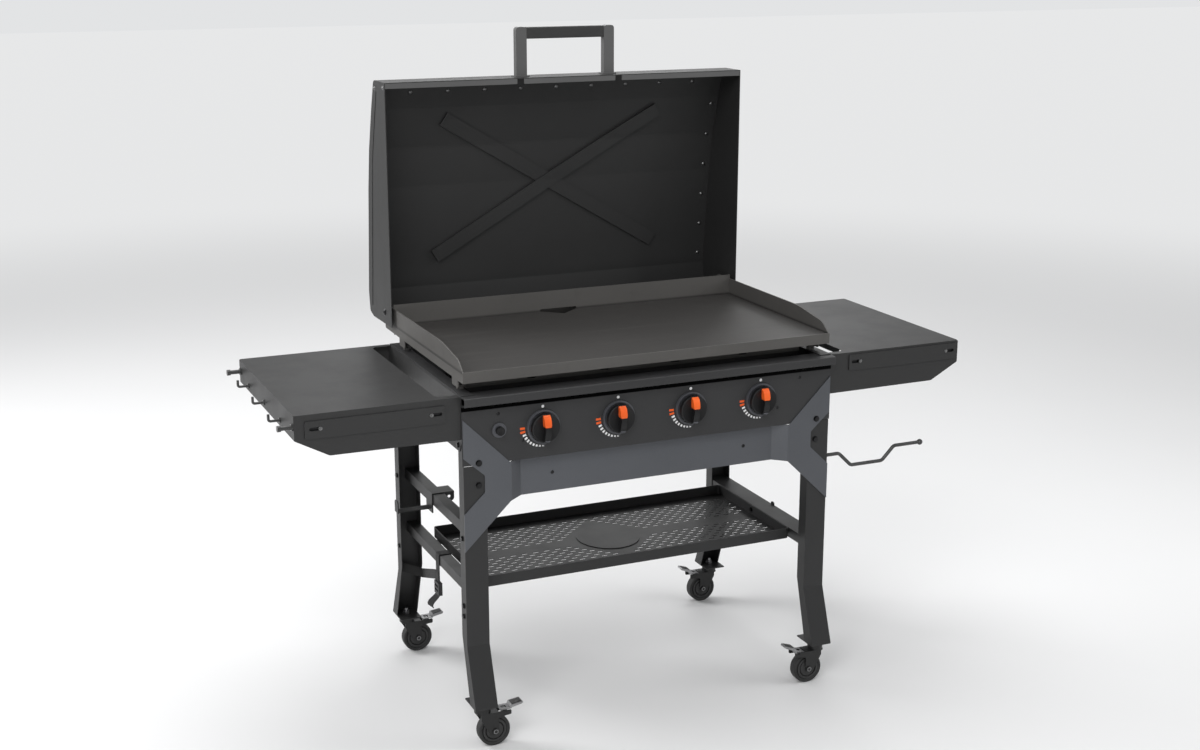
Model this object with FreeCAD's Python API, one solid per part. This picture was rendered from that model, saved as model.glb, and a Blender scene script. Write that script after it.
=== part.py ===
import FreeCAD, Part
import math
import os

# Outdoor gas griddle station on four casters, with an open hood and two side shelves.
# Millimetres. The origin is on the floor, midway between the legs. Front is toward
# minus Y, the user's right is plus X, and Z is up. Every name below is a real size.

V = FreeCAD.Vector

# how far the front face of the apron stands ahead of the origin
front_y = -272.0

# legs
leg_half = 474.0
leg_width = 55.0
leg_depth = 33.0
leg_sheet = 2.0
leg_bend = 245.0
leg_foot_z = 107.0
leg_foot_kick = 49.5
leg_foot_depth = 37.0
rear_leg_back = 537.0
rear_foot_kick = 61.0
foot_plate = 3.0
foot_plate_long = 73.0

# casters
wheel_radius = 38.5
tyre_width = 25.0
hub_radius = 27.0
hub_width = 21.0
caster_trail = 26.0
stem_inset = 27.0
stem_front = -16.0
stem_rear = 566.0
stem_radius = 5.0
fork_sheet = 2.5
fork_gap = 29.0
fork_top = 86.0
fork_arm = 40.0
race_radius = 19.0
axle_radius = 4.0
run_fit = 0.06
pedal_pin = 2.5
pedal_back = 27.0
pedal_reach = 43.0
pedal_lift = 12.0

# apron with its wing-shaped ends
apron_sheet = 2.5
beam_high = 102.0
apron_joggle = 25.0
joggle_inset = 114.0
joggle_run = 32.0

# firebox and control panel
body_sheet = 2.0
body_top = 845.0
body_high = 133.0
panel_high = 163.0
panel_sheet = 2.0
panel_lip = 22.0
panel_brow = 18.0

# knobs
knob_pitch = 187.5
knob_drop = 92.0
knob_radius = 34.0
knob_skirt = 11.0
knob_grip = 17.0
bezel_radius = 40.0
button_x = -388.0
button_rise = 4.0
button_stand = 6.0
button_radius = 12.0
button_travel = 4.0
push_travel = 3.0
knob_gap = 9.5
knob_shaft = 4.0
stem_seat = 24.0

# burners, valves and pipe
burner_radius = 14.0
valve_nose = 9.0
valve_end = 72.0
manifold_y = 52.0
manifold_drop = 18.5
manifold_radius = 9.5
inlet_length = 16.0
inlet_radius = 8.0

# strap band on the rear leg
strap_z = 322.5

# grease cup
cup_half = 70.0
cup_drop = 28.0

# griddle plate
plate_margin = 4.0
plate_sheet = 3.0
plate_floor = 5.0
plate_rise = 50.0
wall_high = 42.0
wall_hang = 23.0
wall_hang_rear = 20.5
drain_x = -30.0
drain_half = 50.0
drain_reach = 41.0
back_wall_y = 517.0
back_wall_high = 52.0
plate_front_y = 4.0
hinge_behind = 41.0
hinge_rise = 27.0
pin_radius = 6.0
foot_radius = 9.0

hinge_ear = 33.0

# hood, standing open
hood_gap = 8.0
hood_sheet = 2.0
rim_ahead = 57.0
hood_rise = 569.0
hood_deep = 138.0
lip_wide = 12.5
post_x = 118.0
post_wide = 28.0
post_deep = 18.0
post_high = 121.0
brace_wide = 36.0
brace_thick = 7.0

# side shelves
shelf_long = 375.0
shelf_drop = 3.0
shelf_front = 8.0
shelf_back = 546.0
shelf_sheet = 1.5
apron_deep = 56.0
slot_reach = 50.0
strip_high = 40.0
strip_place = {-1: (36.0, 352.0, 55.0), 1: (54.0, 372.0, 46.0)}

# bottom shelf and rails
rail_sheet = 2.0
tray_margin = 11.0
tray_front = 64.0
tray_back = 438.0
tray_deep = 24.5
tray_rise = 12.5
tray_sheet = 1.5
slot_pitch = 29.5
row_pitch = 14.4
tray_band = 28.0
pad_clear = 132.0
tray_centre = -9.0
low_rail_z = 348.0
low_rail_high = 25.0
up_rail_z = 490.0
up_rail_high = 27.0
rail_wide = 28.0
tray_bolt_y = 257.0

# sizes that follow from those above
leg_top = body_top - 33
stem_x = leg_half - stem_inset
body_side_low = body_top - body_high
panel_half = leg_half + body_sheet
panel_top = body_top - 2
panel_low = panel_top - panel_high
panel_lip_low = panel_top - panel_brow
apron_beam_top = panel_low + 10
apron_beam_low = apron_beam_top - beam_high
apron_joggle_out = leg_half - joggle_inset
apron_joggle_in = apron_joggle_out - joggle_run
knob_z = body_top - knob_drop
button_z = knob_z + button_rise
bezel_depth = knob_gap - push_travel - 0.3
cook_z = body_top + plate_rise
plate_half = leg_half - plate_margin
wall_top = cook_z + wall_high
back_wall_top = cook_z + back_wall_high
hinge_y = back_wall_y + hinge_behind
hinge_z = cook_z + hinge_rise
cup_top = cook_z - plate_floor - cup_drop
hood_half = plate_half + hood_gap + hood_sheet
hood_lip_z = hinge_z + hood_rise
rim_y = hinge_y - rim_ahead
grip_z = hood_lip_z + post_high
shelf_inner = leg_half + body_sheet
shelf_half = shelf_inner + shelf_long
shelf_top_z = body_top - shelf_drop
tray_half = leg_half - leg_width - tray_margin
tray_floor = low_rail_z + tray_rise
tray_rim = tray_floor + tray_deep


def at(depth):
    # depth is measured back from the apron's front face
    return front_y + depth


def place(plane, u, v, level):
    if plane == "xz":
        return V(u, level, v)
    if plane == "yz":
        return V(level, u, v)
    return V(u, v, level)


def loop(points, plane, level):
    # a closed wire, with a round corner where a point has a third value
    count = len(points)
    spans = []
    for i in range(count):
        here = V(points[i][0], points[i][1], 0)
        last = V(points[i - 1][0], points[i - 1][1], 0)
        after = V(points[(i + 1) % count][0], points[(i + 1) % count][1], 0)
        radius = points[i][2] if len(points[i]) > 2 else 0
        if radius == 0:
            spans.append((here, None, here))
            continue
        back = (last - here).normalize()
        ahead = (after - here).normalize()
        half = back.getAngle(ahead) / 2
        cut = radius / math.tan(half)
        middle = here + (back + ahead).normalize() * (radius / math.sin(half) - radius)
        spans.append((here + back * cut, middle, here + ahead * cut))
    edges = []
    for i in range(count):
        start, middle, end = spans[i]
        a = place(plane, start.x, start.y, level)
        b = place(plane, end.x, end.y, level)
        if middle is not None:
            m = place(plane, middle.x, middle.y, level)
            edges.append(Part.Arc(a, m, b).toShape())
        c = spans[(i + 1) % count][0]
        c = place(plane, c.x, c.y, level)
        if b.distanceToPoint(c) > 0.001:
            edges.append(Part.makeLine(b, c))
    return Part.Wire(edges)


def prism(points, plane, low, high, holes=()):
    # a flat outline with holes, pushed from one level to another
    axis = place(plane, 0, 0, high - low)
    solid = Part.Face(loop(points, plane, low)).extrude(axis)
    for hole in holes:
        solid = solid.cut(Part.Face(loop(hole, plane, low)).extrude(axis))
    return solid


def box(x0, x1, y0, y1, z0, z1):
    return Part.makeBox(x1 - x0, y1 - y0, z1 - z0, V(x0, y0, z0))


def rod(start, end, radius):
    line = end - start
    return Part.makeCylinder(radius, line.Length, start, line)


def strip(path, sheet):
    # the outline of a bent sheet: a line of points given thickness to its left
    count = len(path)
    offset = []
    for i in range(count):
        here = V(path[i][0], path[i][1], 0)
        normals = []
        if i > 0:
            d = here - V(path[i - 1][0], path[i - 1][1], 0)
            normals.append(V(-d.y, d.x, 0).normalize())
        if i < count - 1:
            d = V(path[i + 1][0], path[i + 1][1], 0) - here
            normals.append(V(-d.y, d.x, 0).normalize())
        if len(normals) == 1:
            offset.append(here + normals[0] * sheet)
            continue
        mean = (normals[0] + normals[1]).normalize()
        offset.append(here + mean * (sheet / mean.dot(normals[0])))
    points = [tuple(p) for p in path]
    for i in reversed(range(count)):
        point = (offset[i].x, offset[i].y)
        if len(path[i]) > 2:
            # a round corner keeps its centre: tighter on the inside of the turn
            a = V(path[i][0] - path[i - 1][0], path[i][1] - path[i - 1][1], 0)
            b = V(path[i + 1][0] - path[i][0], path[i + 1][1] - path[i][1], 0)
            turn = 1 if a.cross(b).z > 0 else -1
            point += (max(path[i][2] - turn * sheet, 0.2),)
        points.append(point)
    return points


def join(shapes):
    solid = shapes[0]
    if len(shapes) > 1:
        solid = solid.fuse(shapes[1:])
    return solid.removeSplitter()


def flip_x(shape):
    return shape.mirror(V(0, 0, 0), V(1, 0, 0))


def tube(points, radius, bend):
    # a round bar through straight runs joined by arcs
    pieces = []
    start = points[0]
    for i in range(1, len(points)):
        end = points[i]
        if i < len(points) - 1:
            back = (points[i - 1] - points[i]).normalize()
            ahead = (points[i + 1] - points[i]).normalize()
            half = back.getAngle(ahead) / 2
            cut = bend / math.tan(half)
            mid = points[i] + (back + ahead).normalize() * (bend / math.sin(half) - bend)
            end = points[i] + back * cut
            leave = points[i] + ahead * cut
            pieces.append(Part.makeLine(start, end))
            pieces.append(Part.Arc(end, mid, leave).toShape())
            start = leave
        else:
            pieces.append(Part.makeLine(start, end))
    spine = Part.Wire(pieces)
    ring = Part.Wire(Part.makeCircle(radius, points[0], points[1] - points[0]))
    return spine.makePipeShell([ring], True, False)


def write(name, shape):
    shape.exportStep("parts/" + name + ".step")


def leg(side, rear):
    # a bent channel: the web faces out, the flanges run inward, the foot kicks away
    sign = -1 if rear else 1
    web = at(rear_leg_back) if rear else at(apron_sheet)
    kick = -rear_foot_kick if rear else leg_foot_kick
    foot = web - kick
    outer = [
        (web, leg_top), (web, leg_bend), (foot, leg_foot_z),
        (foot + sign * leg_foot_depth, leg_foot_z),
        (web + sign * leg_depth, leg_bend + 18), (web + sign * leg_depth, leg_top)]
    s = sign * leg_sheet
    inner = [
        (web + s, leg_top + 1), (web + s, leg_bend), (foot + s, leg_foot_z),
        (foot + s, leg_foot_z - 1), (web + s * 60, leg_foot_z - 1), (web + s * 60, leg_top + 1)]
    x0 = leg_half - leg_width
    body = prism(outer, "yz", x0, leg_half)
    body = body.cut(prism(inner, "yz", x0 + leg_sheet, leg_half - leg_sheet))
    if not rear:
        # the web stops under the control panel, whose sheet passes in front
        front = web + panel_sheet
        body = body.cut(box(x0 - 1, leg_half + 1, web - 1, front, panel_low - 0.5, leg_top + 1))
    # foot plate with the caster's hole: it runs on past the channel's open side
    y0, y1 = sorted((foot, foot + sign * foot_plate_long))
    plate = box(x0, leg_half, y0, y1, leg_foot_z - foot_plate, leg_foot_z)
    stem_y = at(stem_rear) if rear else at(stem_front)
    hole = rod(V(stem_x, stem_y, 90), V(stem_x, stem_y, 120), stem_radius)
    body = join([body, plate.cut(hole)])
    return body if side > 0 else flip_x(body)


def hexagon(x, y, z0, z1, across):
    # a hexagon head standing along Z
    r = across / math.sqrt(3)
    points = [(x + r * math.cos(math.pi / 3 * k), y + r * math.sin(math.pi / 3 * k)) for k in range(6)]
    return prism(points, "xy", z0, z1)


def bolt(point, axis, across, high):
    # a hexagon head lying on a face: its axis points out of the face
    head = hexagon(0, 0, 0, high, across)
    washer = Part.makeCylinder(across * 0.68, 1.2)
    head = join([washer, head])
    turn = FreeCAD.Rotation(V(0, 0, 1), axis)
    head.Placement = FreeCAD.Placement(point, turn)
    return head


def dome(point, axis, radius, high):
    # a low round rivet or screw head
    ball = (radius * radius + high * high) / (2 * high)
    cap = Part.makeSphere(ball, V(0, 0, high - ball))
    cap = cap.common(Part.makeCylinder(radius, high))
    cap.Placement = FreeCAD.Placement(point, FreeCAD.Rotation(V(0, 0, 1), axis))
    return cap


caster_list = [(-1, stem_front), (1, stem_front), (-1, stem_rear), (1, stem_rear)]


def caster_mounts():
    # stem, nut and fixed race of each caster
    solids = []
    for side, depth in caster_list:
        x = side * stem_x
        y = at(depth)
        under = leg_foot_z - foot_plate
        stem = rod(V(x, y, fork_top - 4), V(x, y, leg_foot_z + 15), stem_radius)
        race = rod(V(x, y, under - 5), V(x, y, under), race_radius)
        nut = hexagon(x, y, leg_foot_z, leg_foot_z + 8, 17)
        solids.append(join([stem, race, nut]))
    return Part.makeCompound(solids)


def caster_fork(side, depth):
    # built for a caster whose wheel trails toward minus X, then turned to its side
    x = stem_x
    y = at(depth)
    axle_x = x - caster_trail
    under = leg_foot_z - foot_plate - 5
    half = fork_gap / 2
    head = rod(V(x, y, fork_top), V(x, y, under), race_radius)
    plan = [
        (x + 17, y - half - fork_sheet, 8), (x + 17, y + half + fork_sheet, 8),
        (axle_x - 9, y + half + fork_sheet), (axle_x - 9, y - half - fork_sheet)]
    crown = prism(plan, "xy", fork_top - fork_sheet, fork_top)
    # a narrow cheek down to the axle, with an arm out to the pedal's pin
    cheek = [
        (x + 9, fork_top), (axle_x - fork_arm, fork_top, 2), (axle_x - fork_arm, fork_top - 11, 3),
        (axle_x - 26, fork_top - 12, 3), (axle_x - 9, fork_top - 15, 4),
        (axle_x - 9, wheel_radius - 9, 8), (axle_x + 12, wheel_radius - 9, 8), (x + 9, fork_top - 13, 5)]
    solids = [head, crown]
    for low in (y - half - fork_sheet, y + half):
        solids.append(prism(cheek, "xz", low, low + fork_sheet))
    reach = half + fork_sheet + 4
    axle = rod(V(axle_x, y - reach, wheel_radius), V(axle_x, y + reach, wheel_radius), axle_radius)
    solids.append(axle)
    for turn in (-1, 1):
        face = V(axle_x, y + turn * (half + fork_sheet), wheel_radius)
        solids.append(rod(face, face + V(0, turn * 3, 0), 7))
    pin_x = axle_x - pedal_back
    pin_z = fork_top - 4
    reach = half + fork_sheet + 1
    solids.append(rod(V(pin_x, y - reach, pin_z), V(pin_x, y + reach, pin_z), pedal_pin))
    body = join(solids)
    bore = rod(V(x, y, fork_top - 6), V(x, y, under + 1), stem_radius + run_fit)
    body = body.cut(bore)
    return body if side > 0 else flip_x(body)


def caster_pedal(side, depth):
    # a brake lever on its pin: a thin plate with a square hole, then a thick raised pad
    x = stem_x - caster_trail - pedal_back
    y = at(depth)
    z = fork_top - 4
    wide = fork_gap / 2 - 1
    barrel = rod(V(x, y - wide, z), V(x, y + wide, z), pedal_pin + 3)
    low = z + 5
    end = x - pedal_reach
    side_view = [
        (x + 14, low), (x + 14, low + 2.2), (x - 12, low + 2.2), (x - 14, low + 9, 2), (end, low + 13, 2),
        (end - 2, low + 8, 2), (x - 15, low + 2.5), (x - 15, low)]
    lever = prism(side_view, "xz", y - wide, y + wide)
    plan = [
        (x + 16, y - wide), (x - 14, y - wide), (end - 3, y - wide, 8), (end - 3, y + wide, 8),
        (x - 14, y + wide), (x + 16, y + wide)]
    lever = lever.common(prism(plan, "xy", low - 1, low + 14))
    lever = lever.cut(box(x - 5, x + 7, y - 6, y + 6, low - 1, low + 3))
    web = box(x - 3, x + 3, y - wide, y - wide + 3, z, low + 1)
    shoe = box(x + 1, x + 5, y - wide + 3, y + wide - 3, z - 7, z + 2)
    solids = [barrel, lever, web, shoe]
    solids.append(box(x - 3, x + 3, y + wide - 3, y + wide, z, low + 1))
    body = join(solids)
    body = body.cut(rod(V(x, y - wide - 1, z), V(x, y + wide + 1, z), pedal_pin + run_fit))
    if side < 0:
        return flip_x(body)
    # the right casters stand with their pedals up
    body.rotate(V(x, y, z), V(0, 1, 0), pedal_lift)
    return body


def caster_wheel(side, depth):
    # hub with a web and a tyre, turned about the axle
    x = stem_x - caster_trail
    y = at(depth)
    bore = axle_radius + run_fit
    h = hub_width / 2
    w = tyre_width / 2
    r = hub_radius
    hub = [
        (bore, -h - 2.5), (bore + 5, -h - 2.5), (bore + 5, -3.5), (r - 4, -3.5),
        (r - 4, -h), (r, -h), (r, h), (r - 4, h), (r - 4, 3.5), (bore + 5, 3.5),
        (bore + 5, h + 2.5), (bore, h + 2.5)]
    tyre = [
        (r, -w + 1.5), (wheel_radius - 4, -w), (wheel_radius - 1, -w + 2.5),
        (wheel_radius, -w + 6), (wheel_radius, w - 6), (wheel_radius - 1, w - 2.5),
        (wheel_radius - 4, w), (r, w - 1.5)]
    solids = []
    for half in (hub, tyre):
        ring = Part.Face(loop(half, "xy", 0)).revolve(V(0, 0, 0), V(0, 1, 0), 360)
        ring.translate(V(x, y, wheel_radius))
        solids.append(ring)
    body = Part.makeCompound(solids)
    return body if side > 0 else flip_x(body)


def side_rail(side, z0, high, wide):
    # a folded rail whose ends sit between the webs of a side's two legs
    x0 = leg_half - leg_width + leg_sheet
    x1 = x0 + wide
    y0 = at(apron_sheet) + leg_sheet
    y1 = at(rear_leg_back) - leg_sheet
    rail = box(x0, x1, y0, y1, z0, z0 + high)
    hollow = box(x0 + rail_sheet, x1 - rail_sheet, y0 - 1, y1 + 1, z0 - 1, z0 + high - rail_sheet)
    rail = rail.cut(hollow)
    if side > 0:
        # a round-topped tab rises from the outer edge beside the tray's bolt
        y = at(tray_bolt_y)
        tab = [
            (y - 8, z0 + 5), (y + 8, z0 + 5), (y + 8, z0 + high + 8, 6), (y - 8, z0 + high + 8, 6)]
        rail = join([rail, prism(tab, "yz", x1 - rail_sheet, x1)])
    return rail if side > 0 else flip_x(rail)


def bottom_shelf():
    # an upturned tray with rows of staggered slots, a raised oval and hanging tabs
    t = tray_sheet
    y0 = at(tray_front)
    y1 = at(tray_back)
    low = tray_floor - t
    plan = [(-tray_half, y0, 8), (tray_half, y0, 8), (tray_half, y1, 8), (-tray_half, y1, 8)]
    inner = [
        (-tray_half + t, y0 + t, 6.5), (tray_half - t, y0 + t, 6.5),
        (tray_half - t, y1 - t, 6.5), (-tray_half + t, y1 - t, 6.5)]
    tray = prism(plan, "xy", low, tray_rim)
    tray = tray.cut(prism(inner, "xy", tray_floor, tray_rim + 1))
    middle = (tray_front + tray_back) / 2
    cutters = []
    for zone in (-1, 1):
        for k in range(9):
            away = tray_band + row_pitch * k
            for n in range(-14, 15):
                x = tray_centre + slot_pitch * (n + 0.5 * (k % 2))
                if abs(x) > tray_half - 15 or abs(x - tray_centre) + away < pad_clear:
                    continue
                y = at(middle + zone * away)
                slot = [
                    (x - 7.5, y - 2.6), (x + 7.5, y - 2.6), (x + 7.5, y + 2.6), (x - 7.5, y + 2.6)]
                cutters.append(prism(slot, "xy", low - 1, tray_floor + 1))
    tray = tray.cut(Part.makeCompound(cutters))
    oval = Part.Wire(Part.Ellipse(V(tray_centre, at(middle), tray_floor - 0.5), 86, 79).toShape())
    pad = Part.Face(oval).extrude(V(0, 0, 2.5))
    pad.rotate(V(tray_centre, at(middle), 0), V(0, 0, 1), 90)
    solids = [tray, pad]
    reach = leg_half - leg_width + leg_sheet
    for side in (-1, 1):
        for depth in (110, 390):
            x0, x1 = sorted((side * (tray_half - t), side * reach))
            solids.append(box(x0, x1, at(depth) - 15, at(depth) + 15, low, tray_floor))
            x0, x1 = sorted((side * (reach - 2), side * reach))
            solids.append(box(x0, x1, at(depth) - 15, at(depth) + 15, low - 12, tray_floor))
    return join(solids)


def front_apron():
    # one stamped sheet: a recessed beam between two wings that lap the legs
    edge = leg_half + 0.5
    path = [
        (edge, at(0)), (apron_joggle_out, at(0), 5), (apron_joggle_in, at(apron_joggle), 5),
        (-apron_joggle_in, at(apron_joggle), 5), (-apron_joggle_out, at(0), 5), (-edge, at(0))]
    bent = prism(strip(path, -apron_sheet), "xy", apron_beam_low - 190, body_top)
    wing = apron_joggle_out
    right = [
        (apron_joggle_in, apron_beam_top), (apron_joggle_in, panel_low - 0.5),
        (wing + 3, panel_low - 0.5), (edge, panel_low + 110), (edge, panel_low + 20),
        (edge - 50.5, panel_low - 25, 6), (edge - 50.5, panel_low - 65, 6),
        (edge, apron_beam_low - 21), (edge, apron_beam_low - 111),
        (wing + 1, apron_beam_low - 1, 8), (apron_joggle_in, apron_beam_low)]
    left = [(-p[0],) + tuple(p[1:]) for p in reversed(right)]
    outline = prism(right + left, "xz", at(-1), at(apron_joggle) + 10)
    return bent.common(outline)


def firebox():
    # side walls, back wall, a baffle that the burners pass, and ledges for the griddle
    t = body_sheet
    outer = leg_half + t
    back = at(rear_leg_back)
    front = at(apron_sheet) + panel_sheet
    wall = [
        (front, body_top), (back + t, body_top), (back + t, body_side_low),
        (front + 17.5, body_side_low), (front, body_side_low + 24)]
    solids = []
    for side in (-1, 1):
        x0, x1 = sorted((side * leg_half, side * outer))
        solids.append(prism(wall, "yz", x0, x1))
        x0, x1 = sorted((side * (leg_half - 28), side * leg_half))
        solids.append(box(x0, x1, front + 0.5, back + t, body_top - t, body_top))
    solids.append(box(-leg_half, leg_half, back, back + t, body_side_low - 12, body_top))
    y = at(valve_end + 40)
    baffle = box(-leg_half, leg_half, y, y + t, body_side_low, body_top - t)
    for k in range(4):
        x = knob_pitch * (k - 1.5)
        baffle = baffle.cut(rod(V(x, y - 10, knob_z), V(x, y + 10, knob_z), burner_radius))
    solids.append(baffle)
    ledge = knob_z - burner_radius
    reach = leg_half - leg_width - 6
    solids.append(box(-reach, reach, back - 34, back, ledge - t, ledge))
    return join(solids)


def vent_columns():
    columns = [panel_half - 29 - 21.2 * k for k in range(6)]
    columns += [-x for x in columns]
    for middle in (-knob_pitch, 0, knob_pitch):
        columns += [middle + 21 * (k - 1.5) for k in range(4)]
    return columns


def control_panel():
    # a folded sheet: a brow over vents, a flat face and a return flange to the beam
    face = at(apron_sheet)
    path = [
        (face + 30, panel_top), (face - panel_lip, panel_top, 3),
        (face - panel_lip, panel_lip_low + 4, 3), (face, panel_lip_low, 3),
        (face, panel_low, 3), (at(apron_joggle), panel_low)]
    panel = prism(strip(path, panel_sheet), "yz", -panel_half, panel_half)
    back = face + panel_sheet
    for side in (-1, 1):
        # the top flange stops inside the firebox walls
        x0, x1 = sorted((side * (leg_half - 0.3), side * (panel_half + 1)))
        panel = panel.cut(box(x0, x1, back, back + 40, panel_top - 8, panel_top + 1))
        # the bottom flange stops short of the legs and the wings' folds
        x0, x1 = sorted((side * (apron_joggle_in - 3), side * (panel_half + 1)))
        panel = panel.cut(box(x0, x1, back, back + 40, panel_low - 1, panel_low + 8))
        x0, x1 = sorted((side * (panel_half - panel_sheet), side * panel_half))
        cheek = [
            (face - panel_lip + 1, panel_top - 1), (face - panel_lip + 1, panel_lip_low + 5),
            (face + 1, panel_lip_low + 1), (face + 1, panel_top - 1)]
        panel = panel.fuse(prism(cheek, "yz", x0, x1))
    cutters = []
    for x in vent_columns():
        cutters.append(box(x - 7, x + 7, face - 1, back + 1, panel_lip_low - 11, panel_lip_low - 6))
    for k in range(4):
        x = knob_pitch * (k - 1.5)
        cutters.append(rod(V(x, face - 1, knob_z), V(x, back + 1, knob_z), valve_nose))
    cutters.append(rod(V(button_x, face - 1, button_z), V(button_x, back + 1, button_z), button_radius))
    return panel.cut(Part.makeCompound(cutters)).removeSplitter()


def burners():
    # four tube burners: a wide mouth in front, a closed end on the rear ledge
    solids = []
    for k in range(4):
        x = knob_pitch * (k - 1.5)
        y0 = at(valve_end)
        y1 = at(rear_leg_back) - 6
        profile = [
            (0, y0 - 8), (6, y0 - 8), (6, y0), (burner_radius + 4, y0 + 3), (burner_radius + 4, y0 + 18),
            (burner_radius, y0 + 32), (burner_radius, y1, 4), (0, y1)]
        body = Part.Face(loop(profile, "xy", 0)).revolve(V(0, 0, 0), V(0, 1, 0), 360)
        body.translate(V(x, 0, knob_z))
        cutters = []
        for n in range(10):
            y = at(150) + 36 * n
            cutters.append(rod(V(x, y, knob_z + 9), V(x, y, knob_z + 20), 3))
        solids.append(body.cut(Part.makeCompound(cutters)))
    return Part.makeCompound(solids)


def gas_manifold():
    # a straight pipe under the valves, capped at the right, with a threaded inlet at the left
    y = at(manifold_y)
    z = knob_z - manifold_drop
    start = -knob_pitch * 1.5 - 60
    end = knob_pitch * 1.5 + 40
    pipe = rod(V(start, y, z), V(end, y, z), manifold_radius)
    cap = hexagon(0, 0, 0, 12, 24)
    cap.Placement = FreeCAD.Placement(V(end, y, z), FreeCAD.Rotation(V(0, 0, 1), V(1, 0, 0)))
    knee = Part.makeSphere(manifold_radius + 2, V(start, y, z))
    drop = rod(V(start, y, z), V(start, y, z - 26), manifold_radius)
    nut = hexagon(start, y, z - 34, z - 26, 22)
    end_z = z - 34 - inlet_length
    spigot = rod(V(start, y, end_z), V(start, y, z - 34), inlet_radius)
    spigot = spigot.cut(rod(V(start, y, end_z - 1), V(start, y, z - 40), inlet_radius - 3))
    return join([pipe, cap, knee, drop, nut, spigot])


def valve_bodies():
    # each valve has a nose in the panel, a body, a saddle on the pipe and a jet
    y0 = at(apron_sheet) - 1
    back = at(apron_sheet) + panel_sheet
    z = knob_z
    solids = []
    reach = knob_pitch * 2
    low = z - manifold_drop
    pipe = rod(V(-reach, at(manifold_y), low), V(reach, at(manifold_y), low), manifold_radius)
    for k in range(4):
        x = knob_pitch * (k - 1.5)
        nose = rod(V(x, y0, z), V(x, back + 4, z), valve_nose)
        flange = rod(V(x, back, z), V(x, back + 3, z), valve_nose + 5)
        body = rod(V(x, back + 3, z), V(x, at(valve_end) - 14, z), 11)
        jet = rod(V(x, at(valve_end) - 14, z), V(x, at(valve_end) - 8, z), 5)
        saddle = rod(V(x, at(manifold_y), z - manifold_drop), V(x, at(manifold_y), z), 9)
        valve = join([nose, flange, body, jet, saddle]).cut(pipe)
        bore = rod(V(x, y0 - 1, z), V(x, y0 + stem_seat, z), knob_shaft + run_fit)
        solids.append(valve.cut(bore))
    return Part.makeCompound(solids)


def panel_bezels():
    # a dished ring with a small point at the bottom round each knob, and the button's collar
    face = at(apron_sheet)
    solids = []
    for k in range(4):
        x = knob_pitch * (k - 1.5)
        ring = rod(V(x, face - bezel_depth, knob_z), V(x, face, knob_z), bezel_radius)
        point = [
            (x - 12, knob_z - bezel_radius + 4), (x, knob_z - bezel_radius - 5, 2),
            (x + 12, knob_z - bezel_radius + 4)]
        ring = ring.fuse(prism(point, "xz", face - bezel_depth + 2, face))
        ring = ring.cut(rod(V(x, face - 20, knob_z), V(x, face - 2, knob_z), knob_radius + 2))
        ring = ring.cut(rod(V(x, face - 20, knob_z), V(x, face + 1, knob_z), valve_nose + 1))
        solids.append(ring.removeSplitter())
    collar = rod(V(button_x, face - 4, button_z), V(button_x, face, button_z), button_radius + 5)
    sleeve = rod(V(button_x, face, button_z), V(button_x, face + 26, button_z), button_radius)
    collar = join([collar, sleeve])
    bore = rod(V(button_x, face - 5, button_z), V(button_x, face + 20, button_z), button_radius - 2)
    solids.append(collar.cut(bore))
    return Part.makeCompound(solids)


def valve_stem(k):
    # the shaft that the knob turns on; pushing the knob moves both
    x = knob_pitch * (k - 1.5)
    face = at(apron_sheet)
    end = face - knob_gap - knob_skirt + 5
    shaft = rod(V(x, end, knob_z), V(x, face - 1 + stem_seat - push_travel - 0.5, knob_z), knob_shaft)
    return shaft


def knob(k):
    # a skirted disc with a waisted grip bar and a raised pointer at the top
    x = knob_pitch * (k - 1.5)
    back = at(apron_sheet) - knob_gap
    z = knob_z
    r = knob_radius
    front = back - knob_skirt
    profile = [(0, back), (r, back), (r, back - 6), (r - 2, front, 2), (r - 6, front - 1.5), (0, front - 1.5)]
    profile = [(p[0], p[1]) + tuple(p[2:]) for p in reversed(profile)]
    disc = Part.Face(loop(profile, "xy", 0)).revolve(V(0, 0, 0), V(0, 1, 0), 360)
    disc.translate(V(x, 0, z))
    bar = [
        (x - 10, z + r - 5, 5), (x + 10, z + r - 5, 5), (x + 6.5, z, 20), (x + 9, z - r + 6, 6),
        (x - 9, z - r + 6, 6), (x - 6.5, z, 20)]
    grip = prism(bar, "xz", front - knob_grip, front)
    slope = [
        (front - knob_grip - 1, z - r), (front - knob_grip - 1, z + r), (front - knob_grip + 6, z + r),
        (front - knob_grip, z + r - 16), (front - knob_grip, z - r + 16), (front - knob_grip + 6, z - r)]
    grip = grip.cut(prism(slope, "yz", x - 30, x + 30))
    body = join([disc, grip])
    hollow = rod(V(x, back - knob_skirt + 4, z), V(x, back + 4, z), knob_shaft + run_fit)
    body = body.cut(hollow)
    ring = rod(V(x, back - 8, z), V(x, back + 1, z), r - 3)
    ring = ring.cut(rod(V(x, back - 9, z), V(x, back + 2, z), 9.5))
    return body.cut(ring)


def igniter_button():
    face = at(apron_sheet)
    x = button_x
    z = button_z
    r = button_radius - 2 - run_fit
    front = face - 4 - button_travel - button_stand
    cap = rod(V(x, front, z), V(x, face + 14, z), r)
    dish = Part.makeSphere(30, V(x, front - 29, z))
    return cap.cut(dish)


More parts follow.
